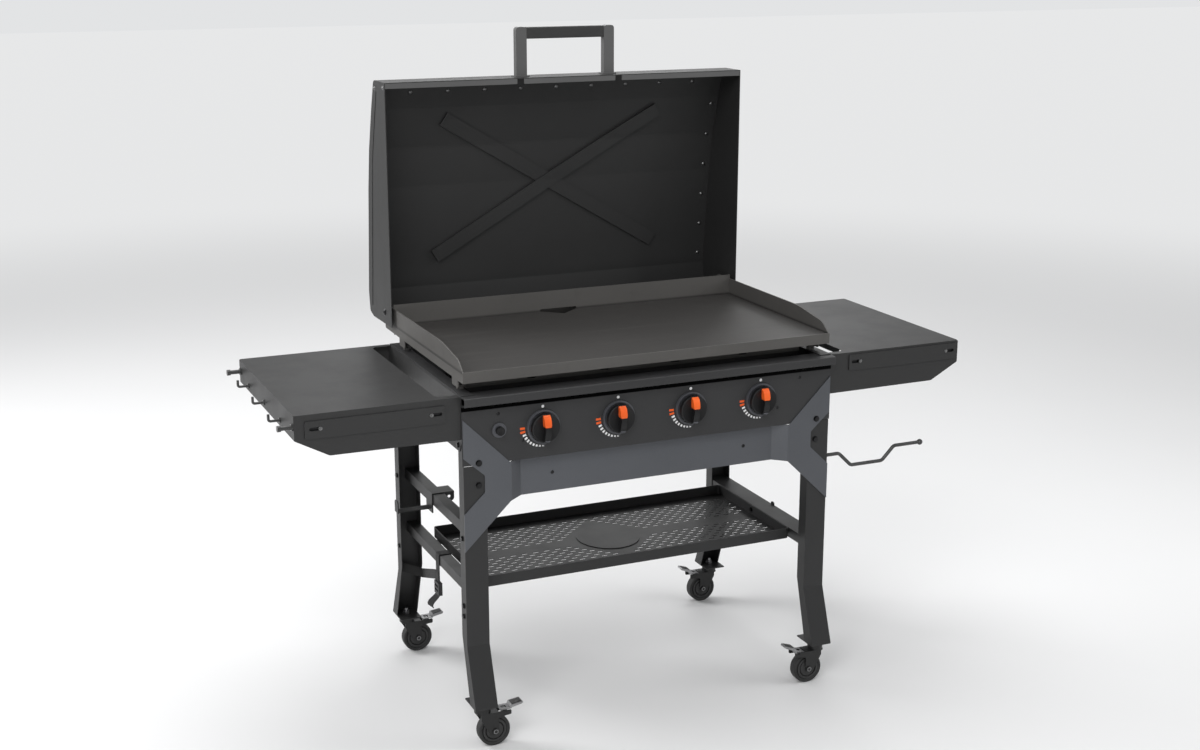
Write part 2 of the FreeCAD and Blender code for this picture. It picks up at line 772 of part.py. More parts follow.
def griddle_plate():
    # a thick pan with a cut-down front lip, side walls that carry the hood, and a rear drain
    t = plate_sheet
    x = plate_half
    low = cook_z - plate_floor
    front = at(plate_front_y)
    rear = at(back_wall_y)
    pivot = at(hinge_y)
    ear = hinge_ear
    wall = [
        (front, cook_z - 23), (front, cook_z + 2), (front + 5, cook_z + 3, 6),
        (front + 33, cook_z + 25, 40), (front + 150, wall_top, 300), (pivot - 12, wall_top),
        (pivot + ear, wall_top, 14), (pivot + ear, cook_z - wall_hang_rear, 5),
        (front + 12, cook_z - wall_hang)]
    solids = [box(-x, x, front, rear + t, low, cook_z)]
    solids.append(box(-x, x, front, front + t, cook_z - 23, cook_z + 2))
    solids.append(box(-x, x, rear, rear + t, low - 18, back_wall_top))
    for side in (-1, 1):
        x0, x1 = sorted((side * (x - t), side * x))
        solids.append(prism(wall, "yz", x0, x1))
    # cross channel under the pan
    web_y = at(88)
    web = box(-x + 34, x - 34, web_y, web_y + t, body_top - 7, low)
    for k in range(4):
        sx = 0.98 * knob_pitch * (k - 1.5) + 2
        z = low - 43
        slot = [(sx - 11, z - 3, 2), (sx + 11, z - 3, 2), (sx + 11, z + 3, 2), (sx - 11, z + 3, 2)]
        web = web.cut(prism(slot, "xz", web_y - 1, web_y + t + 1))
    solids.append(web)
    solids.append(box(-x + 34, x - 34, web_y, web_y + 22, low - t, low))
    # drain chute below the rear edge: its floor slopes back to a gap before an end wall
    head = rear - drain_reach
    end = rear + 50
    wide = drain_half + 10
    outer = [
        (head - 7, low), (head - 3, low - 6), (end - 14, low - 18), (end - 14, low - 22),
        (end, low - 22), (end, cook_z + 5), (rear + t, cook_z + 5), (rear + t, low)]
    inner = [
        (head - 4, low + 1), (head, low - 3.4), (end - 11.5, low - 15.4), (end - 11.5, low - 25),
        (end - 2.5, low - 25), (end - 2.5, cook_z + 8), (rear + t - 0.5, cook_z + 8),
        (rear + t - 0.5, low + 1)]
    chute = prism(outer, "yz", drain_x - wide, drain_x + wide)
    solids.append(chute.cut(prism(inner, "yz", drain_x - wide + 3, drain_x + wide - 3)))
    plate = join(solids)
    drain = [
        (drain_x - drain_half, rear + t + 1), (drain_x - drain_half, rear), (drain_x, head),
        (drain_x + drain_half, rear), (drain_x + drain_half, rear + t + 1)]
    plate = plate.cut(prism(drain, "xy", low - 1, cook_z + 6))
    wide = wide - 6
    plate = plate.cut(box(drain_x - wide, drain_x + wide, rear - 1, rear + t + 1, low - 9, low - 0.01))
    bore = rod(V(-x - 1, pivot, hinge_z), V(x + 1, pivot, hinge_z), pin_radius + run_fit)
    return plate.cut(bore)


def griddle_feet():
    solids = []
    low = cook_z - plate_floor
    for side in (-1, 1):
        for depth in (plate_front_y + 64, back_wall_y - 53):
            x = side * (plate_half - 15)
            y = at(depth)
            pad = rod(V(x, y, body_top), V(x, y, body_top + 6), foot_radius)
            stud = rod(V(x, y, body_top), V(x, y, low), 4)
            nut = hexagon(x, y, low - 7, low, 13)
            # a folded strap laps the wall's inner face and comes down to the stud
            lap = plate_half - plate_sheet
            x0, x1 = sorted((side * (lap - 2.5), side * lap))
            strap = [
                (y - 21, body_top + 7, 5), (y + 21, body_top + 7, 5), (y + 21, low - 1), (y - 21, low - 1)]
            arm0, arm1 = sorted((side * (lap - 20), side * (lap - 1)))
            arm = box(arm0, arm1, y - 8, y + 8, body_top + 7, body_top + 10)
            solids.append(join([pad, stud, nut, prism(strap, "yz", x0, x1), arm]))
    return Part.makeCompound(solids)


def hood_path():
    # the section of the wrapped sheet, from the low back edge round to the rim
    y = at(hinge_y)
    d = hood_deep
    z = hinge_z
    h = hood_rise
    start = hinge_ear + 2
    return [
        (y + start, z - 30), (y + d - 38, z - 31, 8), (y + d - 7, z - 22, 8), (y + d, z + 29, 20),
        (y + 0.797 * d, z + 0.515 * h, 90), (y + 0.667 * d, z + 0.691 * h, 90),
        (y + 0.449 * d, z + 0.868 * h, 60), (y + 0.254 * d, z + h, 14), (at(rim_y), z + h)]


def inset(path, gap):
    # the same section moved inward
    count = len(path)
    moved = strip(path, gap)[count:]
    moved.reverse()
    return [moved[i] for i in range(count)]


def hood_shell():
    x = hood_half - hood_sheet
    return prism(strip(hood_path(), hood_sheet), "yz", -x, x)


def hood_sides():
    solids = []
    path = hood_path()
    outline = [(p[0], p[1]) + tuple(p[2:]) for p in path]
    outline.append((at(rim_y + 2), hinge_z - 29, 4))
    for side in (-1, 1):
        x0, x1 = sorted((side * (hood_half - hood_sheet), side * hood_half))
        panel = prism(outline, "yz", x0, x1)
        # a raised line that follows the front of the panel
        y = at(hinge_y)
        line = [(y + 13, hood_lip_z - 27), (y + 64, hinge_z + 0.652 * hood_rise), (y + 106, hinge_z - 3)]
        raised = prism(strip(line, 5), "yz", x0, x1)
        raised.translate(V(side * 1.2, 0, 0))
        panel = panel.fuse(raised).removeSplitter()
        solids.append(panel.cut(hinge_rod(pin_radius)))
    return Part.makeCompound(solids)


def hinge_rod(radius):
    reach = hood_half + 20
    return rod(V(-reach, at(hinge_y), hinge_z), V(reach, at(hinge_y), hinge_z), radius)


def hood_pins():
    solids = []
    for side in (-1, 1):
        y = at(hinge_y)
        inner = side * (plate_half - plate_sheet - 5)
        pin = rod(V(inner, y, hinge_z), V(side * (hood_half + 1), y, hinge_z), pin_radius)
        collar = rod(V(side * (plate_half + 0.2), y, hinge_z), V(side * (hood_half - hood_sheet), y, hinge_z), 11)
        cap = rod(V(side * (plate_half - plate_sheet - 0.2), y, hinge_z), V(inner - side * 1, y, hinge_z), 10)
        head = dome(V(side * hood_half, y, hinge_z), V(side, 0, 0), 10, 5)
        solids.append(join([pin, collar, cap, head]))
    return Part.makeCompound(solids)


def hood_lip():
    # three strips that turn down from the front face, broken at the handle posts
    z1 = hood_lip_z - hood_sheet
    solids = []
    edge = hood_half - hood_sheet
    for x0, x1 in ((-edge, -post_x - 23), (-post_x - 5, post_x + 5), (post_x + 23, edge)):
        lip = box(x0, x1, at(rim_y), at(rim_y) + hood_sheet, z1 - lip_wide, z1)
        solids.append(lip)
    return Part.makeCompound(solids)


def hood_brace():
    # two crossed bars that lie along the inside of the sheet, one over the other
    high = hinge_z + 0.805 * hood_rise
    low = hinge_z + 0.199 * hood_rise
    ends = [(-283, high), (287, high), (304, low), (-297, low)]
    inner = inset(hood_path(), hood_sheet)
    layers = []
    for a, b, thick in ((ends[0], ends[2], brace_thick), (ends[1], ends[3], brace_thick + 3)):
        d = V(b[0] - a[0], b[1] - a[1], 0).normalize() * 12
        n = V(-d.y, d.x, 0).normalize() * (brace_wide / 2)
        points = [
            (a[0] - d.x + n.x, a[1] - d.y + n.y), (b[0] + d.x + n.x, b[1] + d.y + n.y),
            (b[0] + d.x - n.x, b[1] + d.y - n.y), (a[0] - d.x - n.x, a[1] - d.y - n.y)]
        bar = prism(points, "xz", at(rim_y), at(rim_y + 220))
        layers.append(prism(strip(inner, thick), "yz", -400, 400).common(bar))
    return join(layers)


def handle_posts():
    # two folded brackets that stand on the front face
    solids = []
    y = at(rim_y + 38)
    for side in (-1, 1):
        x = side * post_x
        w = post_wide / 2
        d = post_deep / 2
        shape = [
            (x - w, hood_lip_z), (x + w, hood_lip_z), (x + w, grip_z, 8), (x - w, grip_z, 8)]
        post = prism(shape, "xz", y - d, y + d)
        foot = box(x - w - 5, x + w + 5, y - d - 4, y + d + 4, hood_lip_z, hood_lip_z + 3)
        solids.append(join([post, foot]))
    return Part.makeCompound(solids)


def handle_grip():
    y = at(rim_y + 38)
    z = grip_z - 15
    x = post_x - post_wide / 2
    plan = [(y - 9, z - 14, 6), (y + 9, z - 14, 6), (y + 9, z + 14, 6), (y - 9, z + 14, 6)]
    return prism(plan, "yz", -x, x)


def sheet_point(shell, z):
    # where the inside of the hood's wrapped sheet lies at a height, and which way it faces
    found = []
    for height in (z - 2, z, z + 2):
        line = Part.makeLine(V(0, at(rim_y) + 6, height), V(0, at(rim_y) + 250, height))
        found.append(min(v.Y for v in line.common(shell).Vertexes))
    out = V(0, -4, found[2] - found[0]).normalize()
    # a quarter of a millimetre off, so that a flat base clears the curve
    return found[1] - 0.25, out


def hood_rivets():
    solids = []
    shell = hood_shell()
    z = hood_lip_z - 34
    y, out = sheet_point(shell, z)
    for k in range(9):
        solids.append(dome(V(97 * (k - 4) + 4, y, z), out, 5, 2.5))
    for side in (-1, 1):
        for k in range(6):
            z = hood_lip_z - 97 - 83 * k
            y, out = sheet_point(shell, z)
            solids.append(dome(V(side * (hood_half - 20), y, z), out, 5, 2.5))
        for depth, z in ((rim_y + 13, hood_lip_z - 13), (rim_y + 83, hood_lip_z - 19)):
            solids.append(dome(V(side * hood_half, at(depth), z), V(side, 0, 0), 5, 2.5))
    return Part.makeCompound(solids)


def shelf_top(side):
    # a flat sheet with turned-down edges and a long slot beside the firebox
    x0 = shelf_inner
    x1 = shelf_half
    y0 = at(shelf_front)
    y1 = at(shelf_back)
    z = shelf_top_z
    t = shelf_sheet
    plan = [(x0, y0), (x1, y0, 6), (x1, y1, 6), (x0, y1)]
    top = prism(plan, "xy", z - t, z)
    slot = [
        (x0 + 1, y0 + 20), (x0 + slot_reach, y0 + 20, 14), (x0 + slot_reach, y1 - 17, 14),
        (x0 + 1, y1 - 17)]
    top = top.cut(prism(slot, "xy", z - 20, z + 1))
    curb = box(x0 + slot_reach, x0 + slot_reach + t, y0 + 40, y1 - 40, z - 14, z - t)
    top = join([top, curb])
    return top if side > 0 else flip_x(top)


def strip_slots(side):
    # the long slots that pass through a strip and the apron behind it
    start, end, drop = strip_place[side]
    x0 = shelf_inner + start
    x1 = shelf_inner + end
    z = shelf_top_z - drop + 22
    cutters = []
    for s0, s1 in ((x0 + 7, x0 + 35), (x1 - 38, x1 - 10)):
        slot = [
            (side * s0, z - 4, 3.9), (side * s1, z - 4, 3.9), (side * s1, z + 4, 3.9),
            (side * s0, z + 4, 3.9)]
        cutters.append(prism(slot, "xz", at(shelf_front) - 4, at(shelf_front) + shelf_sheet + 1))
    return Part.makeCompound(cutters)


def shelf_frame(side):
    # aprons under the sheet: deep at the firebox, cut up to the outer corner
    x0 = shelf_inner
    x1 = shelf_half
    y0 = at(shelf_front)
    y1 = at(shelf_back)
    z = shelf_top_z - shelf_sheet
    t = shelf_sheet
    low = shelf_top_z - apron_deep
    deep = low - 43
    face = [(x0, z), (x1, z), (x1, low, 4), (x1 - 76, deep + 2, 12), (x0, deep)]
    solids = [prism(face, "xz", y0, y0 + t), prism(face, "xz", y1 - t, y1)]
    solids.append(box(x1 - t, x1, y0, y1, low, z))
    solids.append(box(x0, x0 + t, y0, y1, deep, z))
    solids.append(box(x1 - 14, x1 - t, y0 + t, y1 - t, low, low + t))
    for share in (0.36, 0.7):
        x = x0 + (x1 - x0) * share
        rib = [(y0 + t, z), (y1 - t, z), (y1 - t, z - 24, 6), (y0 + t, z - 24, 6)]
        solids.append(prism(rib, "yz", x, x + t))
    frame = join(solids)
    frame = frame.cut(strip_slots(1) if side > 0 else flip_x(strip_slots(-1)))
    return frame if side > 0 else flip_x(frame)


def shelf_strips():
    # a narrow plate on each front apron with a long slot at both ends
    solids = []
    for side in (-1, 1):
        start, end, drop = strip_place[side]
        x0 = shelf_inner + start
        x1 = shelf_inner + end
        z0 = shelf_top_z - drop
        z1 = z0 + strip_high
        plate = [(side * x0, z0, 4), (side * x1, z0, 4), (side * x1, z1, 4), (side * x0, z1, 4)]
        shape = prism(plate, "xz", at(shelf_front) - 3, at(shelf_front))
        solids.append(shape.cut(strip_slots(side)))
    return Part.makeCompound(solids)


def shelf_hooks():
    # two pegs and three upturned hooks on the left shelf's outer apron
    solids = []
    x = -shelf_half
    z = shelf_top_z - 27
    for depth in (shelf_front + 10, shelf_back - 15):
        y = at(depth)
        peg = rod(V(x, y, z), V(x - 34, y, z), 5)
        cap = rod(V(x - 26, y, z), V(x - 34, y, z), 7)
        collar = rod(V(x, y, z), V(x - 4, y, z), 8)
        solids.append(join([peg, cap, collar]))
    for depth in (133, 289, 447):
        y = at(depth)
        wire = tube([V(x, y, z - 15), V(x - 26, y, z - 15), V(x - 26, y, z + 1)], 3, 5)
        collar = rod(V(x, y, z - 15), V(x - 3, y, z - 15), 6)
        solids.append(join([wire, collar]))
    return Part.makeCompound(solids)


def paper_towel_rod():
    y = at(apron_sheet + 17.5)
    z = apron_beam_low - 7
    points = [(0, 0), (45, 0), (81, 35), (173, 35), (207, 0), (281, 0)]
    wire = tube([V(leg_half + p[0], y, z - p[1]) for p in points], 4.5, 14)
    ball = Part.makeSphere(7.5, V(leg_half + 285, y, z))
    collar = rod(V(leg_half, y, z), V(leg_half + 5, y, z), 9)
    return join([wire, ball, collar])


def tank_bracket():
    # a saddle on the upper rail with an outward arm and a drilled inner tab
    x1 = -(leg_half - leg_width + leg_sheet)
    x0 = x1 - rail_wide
    top = up_rail_z + up_rail_high
    y0 = at(306)
    y1 = at(352)
    solids = [box(x0 - 3, x1 + 26, y0, y1, top, top + 2.5)]
    solids.append(box(x0 - 3, x0, y0, y1, up_rail_z - 20, top))
    solids.append(box(x1, x1 + 2.5, y0, y1, up_rail_z + 2, top))
    end = x0 - 84
    arm = [(x0, y0 + 10), (end, y0 + 10), (end, y1 - 10), (x0, y1 - 10)]
    solids.append(prism(arm, "xy", up_rail_z - 12, up_rail_z - 9.5))
    flag = [
        (y0 + 10, up_rail_z - 14), (y1 - 10, up_rail_z - 14), (y1 - 10, top - 10, 8),
        (y0 + 10, top - 10, 8)]
    solids.append(prism(flag, "yz", end - 2.5, end))
    tab = [(x1 + 2, top - 22), (x1 + 26, top - 22, 9), (x1 + 26, top + 2), (x1 + 2, top + 2)]
    tab = prism(tab, "xz", y0, y0 + 2.5).cut(rod(V(x1 + 13, y0 - 1, top - 10), V(x1 + 13, y0 + 4, top - 10), 4))
    solids.append(tab)
    return join(solids)


def tank_strap():
    # webbing: a band round the lower rail, a hanging run and a run to the rear leg
    x1 = -(leg_half - leg_width + leg_sheet)
    x0 = x1 - rail_wide
    z0 = low_rail_z
    z1 = low_rail_z + low_rail_high
    g = 0.4
    t = 2.0
    band = box(x0 - g - t, x1 + g + t, at(266), at(291), z0 - g - t, z1 + g + t)
    band = band.cut(box(x0 - g, x1 + g, at(260), at(295), z0 - g, z1 + g))
    hang = box(x0 - g - t, x0 - g, at(266), at(291), z0 - 120, z0)
    solids = [join([band, hang])]
    leg_out = -leg_half - g
    leg_in = -(leg_half - leg_width) + g
    back = at(rear_leg_back) + g
    front = at(rear_leg_back) - leg_depth - g
    round_leg = box(leg_out - t, leg_in + t, front - t, back + t, strap_z, strap_z + 25)
    round_leg = round_leg.cut(box(leg_out, leg_in, front, back, strap_z - 5, strap_z + 30))
    run = [
        (leg_out - t, front + 2), (leg_out, front + 2), (x0 - g, at(291)), (x0 - g - t, at(289))]
    run = prism(run, "xy", strap_z, strap_z + 25)
    solids[0] = join([solids[0], round_leg, run])
    return solids[0]


def strap_fittings():
    # a ladder buckle on the hanging run and a keeper on the run to the leg
    x1 = -(leg_half - leg_width + leg_sheet)
    x = x1 - rail_wide - 0.4
    z = low_rail_z - 78
    frame = box(x - 6, x + 4, at(262), at(295), z, z + 32)
    frame = frame.cut(box(x - 2.3, x + 0.3, at(265.5), at(291.5), z - 10, z + 40))
    frame = frame.cut(box(x - 8, x - 2.2, at(266), at(291), z + 8, z + 14))
    frame = frame.cut(box(x - 8, x - 2.2, at(266), at(291), z + 19, z + 25))
    return frame.removeSplitter()


def grease_cup_bracket():
    # two hanging rails behind the firebox that the cup slides along
    back = at(rear_leg_back) + body_sheet
    solids = []
    for side in (-1, 1):
        x0, x1 = sorted((side * (cup_half + 8), side * (cup_half + 10)))
        solids.append(box(x0, x1, back, back + 78, cup_top - 10, cup_top + 8))
        x0, x1 = sorted((side * (cup_half + 0.6), side * (cup_half + 10)))
        solids.append(box(x0, x1, back, back + 78, cup_top - 4, cup_top - 2))
    reach = cup_half + 10
    solids.append(box(-reach, reach, back, back + 2, cup_top - 70, cup_top - 10))
    bracket = join(solids)
    bracket.translate(V(drain_x, 0, 0))
    return bracket


def grease_cup():
    # a tapered open box with a turned-out rim
    y0 = at(rear_leg_back) + body_sheet + 5
    y1 = y0 + 74
    top = cup_top
    low = cup_top - 62
    c = cup_half

    def ring(inset_by, z):
        w = inset_by
        return loop([(-c + w, y0 + w, 8), (c - w, y0 + w, 8), (c - w, y1 - w, 8), (-c + w, y1 - w, 8)], "xy", z)
    outer = Part.makeLoft([ring(6, low), ring(0, top)], True, True)
    inner = Part.makeLoft([ring(7.5, low + 1.5), ring(1.5, top + 0.01)], True, True)
    rim = prism([
        (-c - 6, y0 - 3, 6), (c + 6, y0 - 3, 6), (c + 6, y1 + 6, 6), (-c - 6, y1 + 6, 6)],
        "xy", top - 2, top)
    rim = rim.cut(inner)
    cup = join([outer.cut(inner), rim])
    cup.translate(V(drain_x, 0, 0))
    return cup


def fasteners():
    # heads that sit on the legs, wings and panel
    solids = []
    side_x = leg_half
    web = at(apron_sheet)
    rear = at(rear_leg_back)
    for side in (-1, 1):
        face = V(side, 0, 0)
        for z in (low_rail_z - 7, low_rail_z - 33):
            solids.append(bolt(V(side * side_x, web + 17, z), face, 10, 4))
            # the webbing covers one bolt of the left rear leg
            if side < 0 and z > strap_z:
                continue
            solids.append(bolt(V(side * side_x, rear - 17, z), face, 10, 4))
        solids.append(bolt(V(side * side_x, web + 17, up_rail_z + 15), face, 10, 4))
        solids.append(bolt(V(side * side_x, rear - 17, up_rail_z + 15), face, 10, 4))
        ahead = V(0, -1, 0)
        x = side * (leg_half - 36)
        solids.append(bolt(V(x, at(0), apron_beam_top - 4), ahead, 11, 4.5))
        solids.append(bolt(V(x, web, apron_beam_top - 57), ahead, 11, 4.5))
        x = side * (apron_joggle_in - 78)
        solids.append(dome(V(x, at(apron_joggle), apron_beam_top - 57), ahead, 4.5, 2))
        for inward, z in ((85, knob_z + 42), (144, knob_z - 27)):
            solids.append(dome(V(side * (leg_half - inward), web, z), ahead, 4, 2))
        solids.append(bolt(V(side * shelf_inner, web + 26.5, knob_z - 28), face, 10, 4))
        inside = V(side * (tray_half - tray_sheet), at(tray_bolt_y), tray_floor + 12)
        solids.append(bolt(inside, V(-side, 0, 0), 10, 4))
    return Part.makeCompound(solids)


os.makedirs("parts", exist_ok=True)
for name, side, rear in (
        ("leg_front_left", -1, False), ("leg_front_right", 1, False),
        ("leg_rear_left", -1, True), ("leg_rear_right", 1, True)):
    write(name, leg(side, rear))
write("rail_left_lower", side_rail(-1, low_rail_z, low_rail_high, rail_wide))
write("rail_left_upper", side_rail(-1, up_rail_z, up_rail_high, rail_wide))
write("rail_right_lower", side_rail(1, low_rail_z + 4, low_rail_high, leg_width - 2 * leg_sheet))
write("bottom_shelf", bottom_shelf())
write("front_apron", front_apron())
write("firebox", firebox())
write("control_panel", control_panel())
write("burners", burners())
write("gas_manifold", gas_manifold())
write("valve_bodies", valve_bodies())
write("panel_bezels", panel_bezels())
write("igniter_button", igniter_button())
write("griddle_plate", griddle_plate())
write("griddle_feet", griddle_feet())
write("hood_shell", hood_shell())
write("hood_sides", hood_sides())
write("hood_pins", hood_pins())
write("hood_lip", hood_lip())
write("hood_brace", hood_brace())
write("hood_rivets", hood_rivets())
write("handle_posts", handle_posts())
write("handle_grip", handle_grip())
write("shelf_top_left", shelf_top(-1))
write("shelf_top_right", shelf_top(1))
write("shelf_frame_left", shelf_frame(-1))
write("shelf_frame_right", shelf_frame(1))
write("shelf_strips", shelf_strips())
write("shelf_hooks", shelf_hooks())
write("paper_towel_rod", paper_towel_rod())
write("tank_bracket", tank_bracket())
write("tank_strap", tank_strap())
write("strap_fittings", strap_fittings())
write("grease_cup_bracket", grease_cup_bracket())
write("grease_cup", grease_cup())
write("caster_mounts", caster_mounts())
write("fasteners", fasteners())
for k in range(4):
    write("valve_stem_%d" % (k + 1), valve_stem(k))
    write("knob_%d" % (k + 1), knob(k))
    side, depth = caster_list[k]
    write("caster_fork_%d" % (k + 1), caster_fork(side, depth))
    write("caster_wheel_%d" % (k + 1), caster_wheel(side, depth))
    write("caster_pedal_%d" % (k + 1), caster_pedal(side, depth))
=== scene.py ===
import math

import bmesh
import bpy
from mathutils import Matrix, Vector


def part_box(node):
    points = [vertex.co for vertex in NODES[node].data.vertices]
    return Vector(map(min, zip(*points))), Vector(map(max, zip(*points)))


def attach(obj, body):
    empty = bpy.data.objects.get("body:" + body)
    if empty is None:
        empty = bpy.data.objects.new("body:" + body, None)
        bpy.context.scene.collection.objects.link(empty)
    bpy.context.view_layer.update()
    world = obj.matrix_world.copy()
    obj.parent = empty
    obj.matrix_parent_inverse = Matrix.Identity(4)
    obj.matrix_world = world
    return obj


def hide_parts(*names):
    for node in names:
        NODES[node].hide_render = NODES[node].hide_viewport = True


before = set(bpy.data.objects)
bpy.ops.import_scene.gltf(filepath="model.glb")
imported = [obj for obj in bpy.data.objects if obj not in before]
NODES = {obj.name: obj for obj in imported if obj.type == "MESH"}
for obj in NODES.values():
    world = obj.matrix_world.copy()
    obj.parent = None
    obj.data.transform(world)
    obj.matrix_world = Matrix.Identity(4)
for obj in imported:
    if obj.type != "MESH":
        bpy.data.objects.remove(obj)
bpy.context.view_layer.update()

# The looks of an outdoor gas griddle station: finishes for the metal frame, and the brow,
# slot screws, knobs, dial marks, wheels, pedal pads, grip and webbing that go on it. Sizes
# are in metres, and the front of the station is toward minus Y.

bl_info = {
    "name": "Gas griddle station",
    "version": (1, 0, 0),
    "blender": (4, 5, 0),
    "location": "View3D > Sidebar > Griddle",
    "description": "Dresses the frame of an outdoor gas griddle station",
    "category": "Object",
}

# the front faces of the apron, the control panel and the bezels, and the knobs' places
FRONT = -0.272
PANEL_FACE = FRONT + 0.0025
KNOB_BACK = PANEL_FACE - 0.0095
KNOB_X = [0.1875 * (k - 1.5) for k in range(4)]
KNOB_Z = 0.753
SKIRT_DEPTH = 0.011

# the dot above each knob: its height over the knob's middle, and its radius
DOT_RISE = 0.0475
DOT_RADIUS = 0.0035

# the band of vents, which the control panel's coat paints in shade, and the brow's lower edge that
# hangs over it
VENT_LOW = 0.8085
VENT_TOP = 0.8195
BROW_EDGE = 0.8236
BROW_DROP = 0.0053

# the cook plate: its floor's top, its underside and where its front lip begins
PLATE_FLOOR = 0.896
PLATE_UNDER = 0.893
PLATE_LIP = -0.266

# each front strip's slots: side of the station, inner and outer end, height
STRIP_SLOTS = ((-1, 0.512, 0.828, 0.809), (1, 0.53, 0.848, 0.818))
STRIP_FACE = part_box("shelf_strips")[0].y
APRON_BACK = FRONT + 0.0095

# a brake pedal that reaches toward minus X: its pin, its pad's slope, and how far it lifts
PEDAL_PIN = Vector((0.394, 0, 0.082))
PEDAL_SLOPE = math.atan2(0.004, 0.029)
PEDAL_LIFT = math.radians(12)

# the strap: its width and thickness, how far its middle stands off the rail, where it
# hangs, and the heights that its runs pass through
STRAP_WIDE = 0.025
STRAP_THICK = 0.0016
STRAP_OFF = 0.0016
STRAP_Y = FRONT + 0.2785
STRAP_LOW = 0.282
TAIL_TOP = 0.288
LEG_FLANGE_Y = FRONT + 0.504 - 0.0024
LEG_RUN_Z = (0.257, 0.2385, 0.3165, 0.3195)

# the studio's sky: how bright it is as a light, and as the backdrop that the camera sees
SKY_LIGHT = 0.42
SKY_SHOWN = 0.89


# Shader maths


class Sock:
    """One output socket of a material's node tree, with arithmetic on it."""

    def __init__(self, paint, socket):
        self.paint = paint
        self.socket = socket

    def maths(self, operation, *values):
        return self.paint.add("ShaderNodeMath", {"operation": operation}, values)

    def __add__(self, other):
        return self.maths("ADD", self, other)

    __radd__ = __add__

    def __mul__(self, other):
        return self.maths("MULTIPLY", self, other)

    __rmul__ = __mul__

    def __sub__(self, other):
        return self.maths("SUBTRACT", self, other)

    def __rsub__(self, other):
        return self.maths("SUBTRACT", other, self)

    def __pow__(self, other):
        return self.maths("POWER", self, other)

    def above(self, other):
        return self.maths("GREATER_THAN", self, other)

    def most(self, other):
        return self.maths("MAXIMUM", self, other)

    def size(self):
        return self.maths("ABSOLUTE", self)

    def wave(self):
        return self.maths("SINE", self)

    def clamp(self):
        return self.paint.add("ShaderNodeClamp", {}, (self,))

    def ramp(self, low, high, out_low=0.0, out_high=1.0):
        settings = {"interpolation_type": "SMOOTHSTEP"}
        return self.paint.add("ShaderNodeMapRange", settings, (self, low, high, out_low, out_high))


class Paint:
    """A material under construction."""

    def __init__(self, name):
        self.material = bpy.data.materials.new(name)
        self.material.use_nodes = True
        self.tree = self.material.node_tree
        self.shader = self.tree.nodes["Principled BSDF"]
        self.coords = self.tree.nodes.new("ShaderNodeTexCoord")

    def add(self, kind, settings, values, output=0):
        node = self.tree.nodes.new(kind)
        for key, value in settings.items():
            setattr(node, key, value)
        pairs = values.items() if isinstance(values, dict) else enumerate(values)
        for key, value in pairs:
            if isinstance(value, Sock):
                self.tree.links.new(value.socket, node.inputs[key])
            else:
                node.inputs[key].default_value = value
        return Sock(self, node.outputs[output])

    def place(self, which="Object"):
        return Sock(self, self.coords.outputs[which])

    def axes(self, which="Object"):
        node = self.add("ShaderNodeSeparateXYZ", {}, (self.place(which),)).socket.node
        return [Sock(self, node.outputs[k]) for k in range(3)]

    def noise(self, scale, detail=3.0, rough=0.55, vector=None, stretch=None):
        vector = vector or self.place()
        if stretch:
            vector = self.add("ShaderNodeMapping", {}, {"Vector": vector, "Scale": stretch})
        values = {"Vector": vector, "Scale": scale, "Detail": detail, "Roughness": rough}
        return self.add("ShaderNodeTexNoise", {}, values)

    def blend(self, share, low, high):
        # two colours, or a colour and a socket
        node = self.tree.nodes.new("ShaderNodeMix")
        node.data_type = "RGBA"
        for key, value in ((0, share), (6, low), (7, high)):
            if isinstance(value, Sock):
                self.tree.links.new(value.socket, node.inputs[key])
            elif key == 0:
                node.inputs[key].default_value = value
            else:
                node.inputs[key].default_value = (*value, 1.0)
        return Sock(self, node.outputs[2])

    def set(self, **values):
        for key, value in values.items():
            socket = self.shader.inputs[key.replace("_", " ")]
            if isinstance(value, Sock):
                self.tree.links.new(value.socket, socket)
            elif key == "Base_Color":
                socket.default_value = (*value, 1.0)
            else:
                socket.default_value = value
        return self

    def bump(self, height, depth, strength=1.0):
        values = {"Strength": strength, "Distance": depth, "Height": height}
        self.set(Normal=self.add("ShaderNodeBump", {}, values))
        return self


def tone(colour, factor):
    return tuple(min(1.0, channel * factor) for channel in colour)


def powder_coat(
        name, colour, rough=0.5, grain=900.0, depth=0.00006, metal=0.0, contrast=0.07, shade=None):
    # fine orange-peel grain over metal, with faint handling marks and dust
    paint = Paint(name)
    cloud = paint.noise(3.1, 4.0)
    fine = paint.noise(grain, 2.0, 0.6)
    smudge = paint.noise(11.0, 5.0, 0.62, stretch=(1.0, 1.0, 0.5))
    share = cloud.ramp(0.3, 0.7)
    base = paint.blend(share, tone(colour, 1.0 - contrast), tone(colour, 1.0 + contrast))
    speck = fine.ramp(0.56, 0.72) * 0.35
    base = paint.blend(speck, base, tone(colour, 1.7))
    # painted shade: where the mask is set, the coat is painted near black and made metallic, so
    # that it also loses its sheen there
    if shade:
        painted_shade = shade(paint)
        base = paint.blend(painted_shade, base, tone(colour, 0.08))
        metal = painted_shade
    gloss = rough - 0.03 + smudge.ramp(0.35, 0.7) * 0.05
    paint.set(Base_Color=base, Roughness=gloss, Metallic=metal)
    paint.shader.inputs["Specular IOR Level"].default_value = 0.45
    paint.bump(fine, depth, 0.6)
    return paint.material


def painted_brow_shade(paint):
    # painted shade: the narrow band of the panel under the brow, where the brow's shadow falls, is
    # painted near black
    z = paint.axes()[2]
    return z.ramp(VENT_LOW - 0.001, VENT_LOW) * z.ramp(VENT_TOP, VENT_TOP + 0.001, 1.0, 0.0)


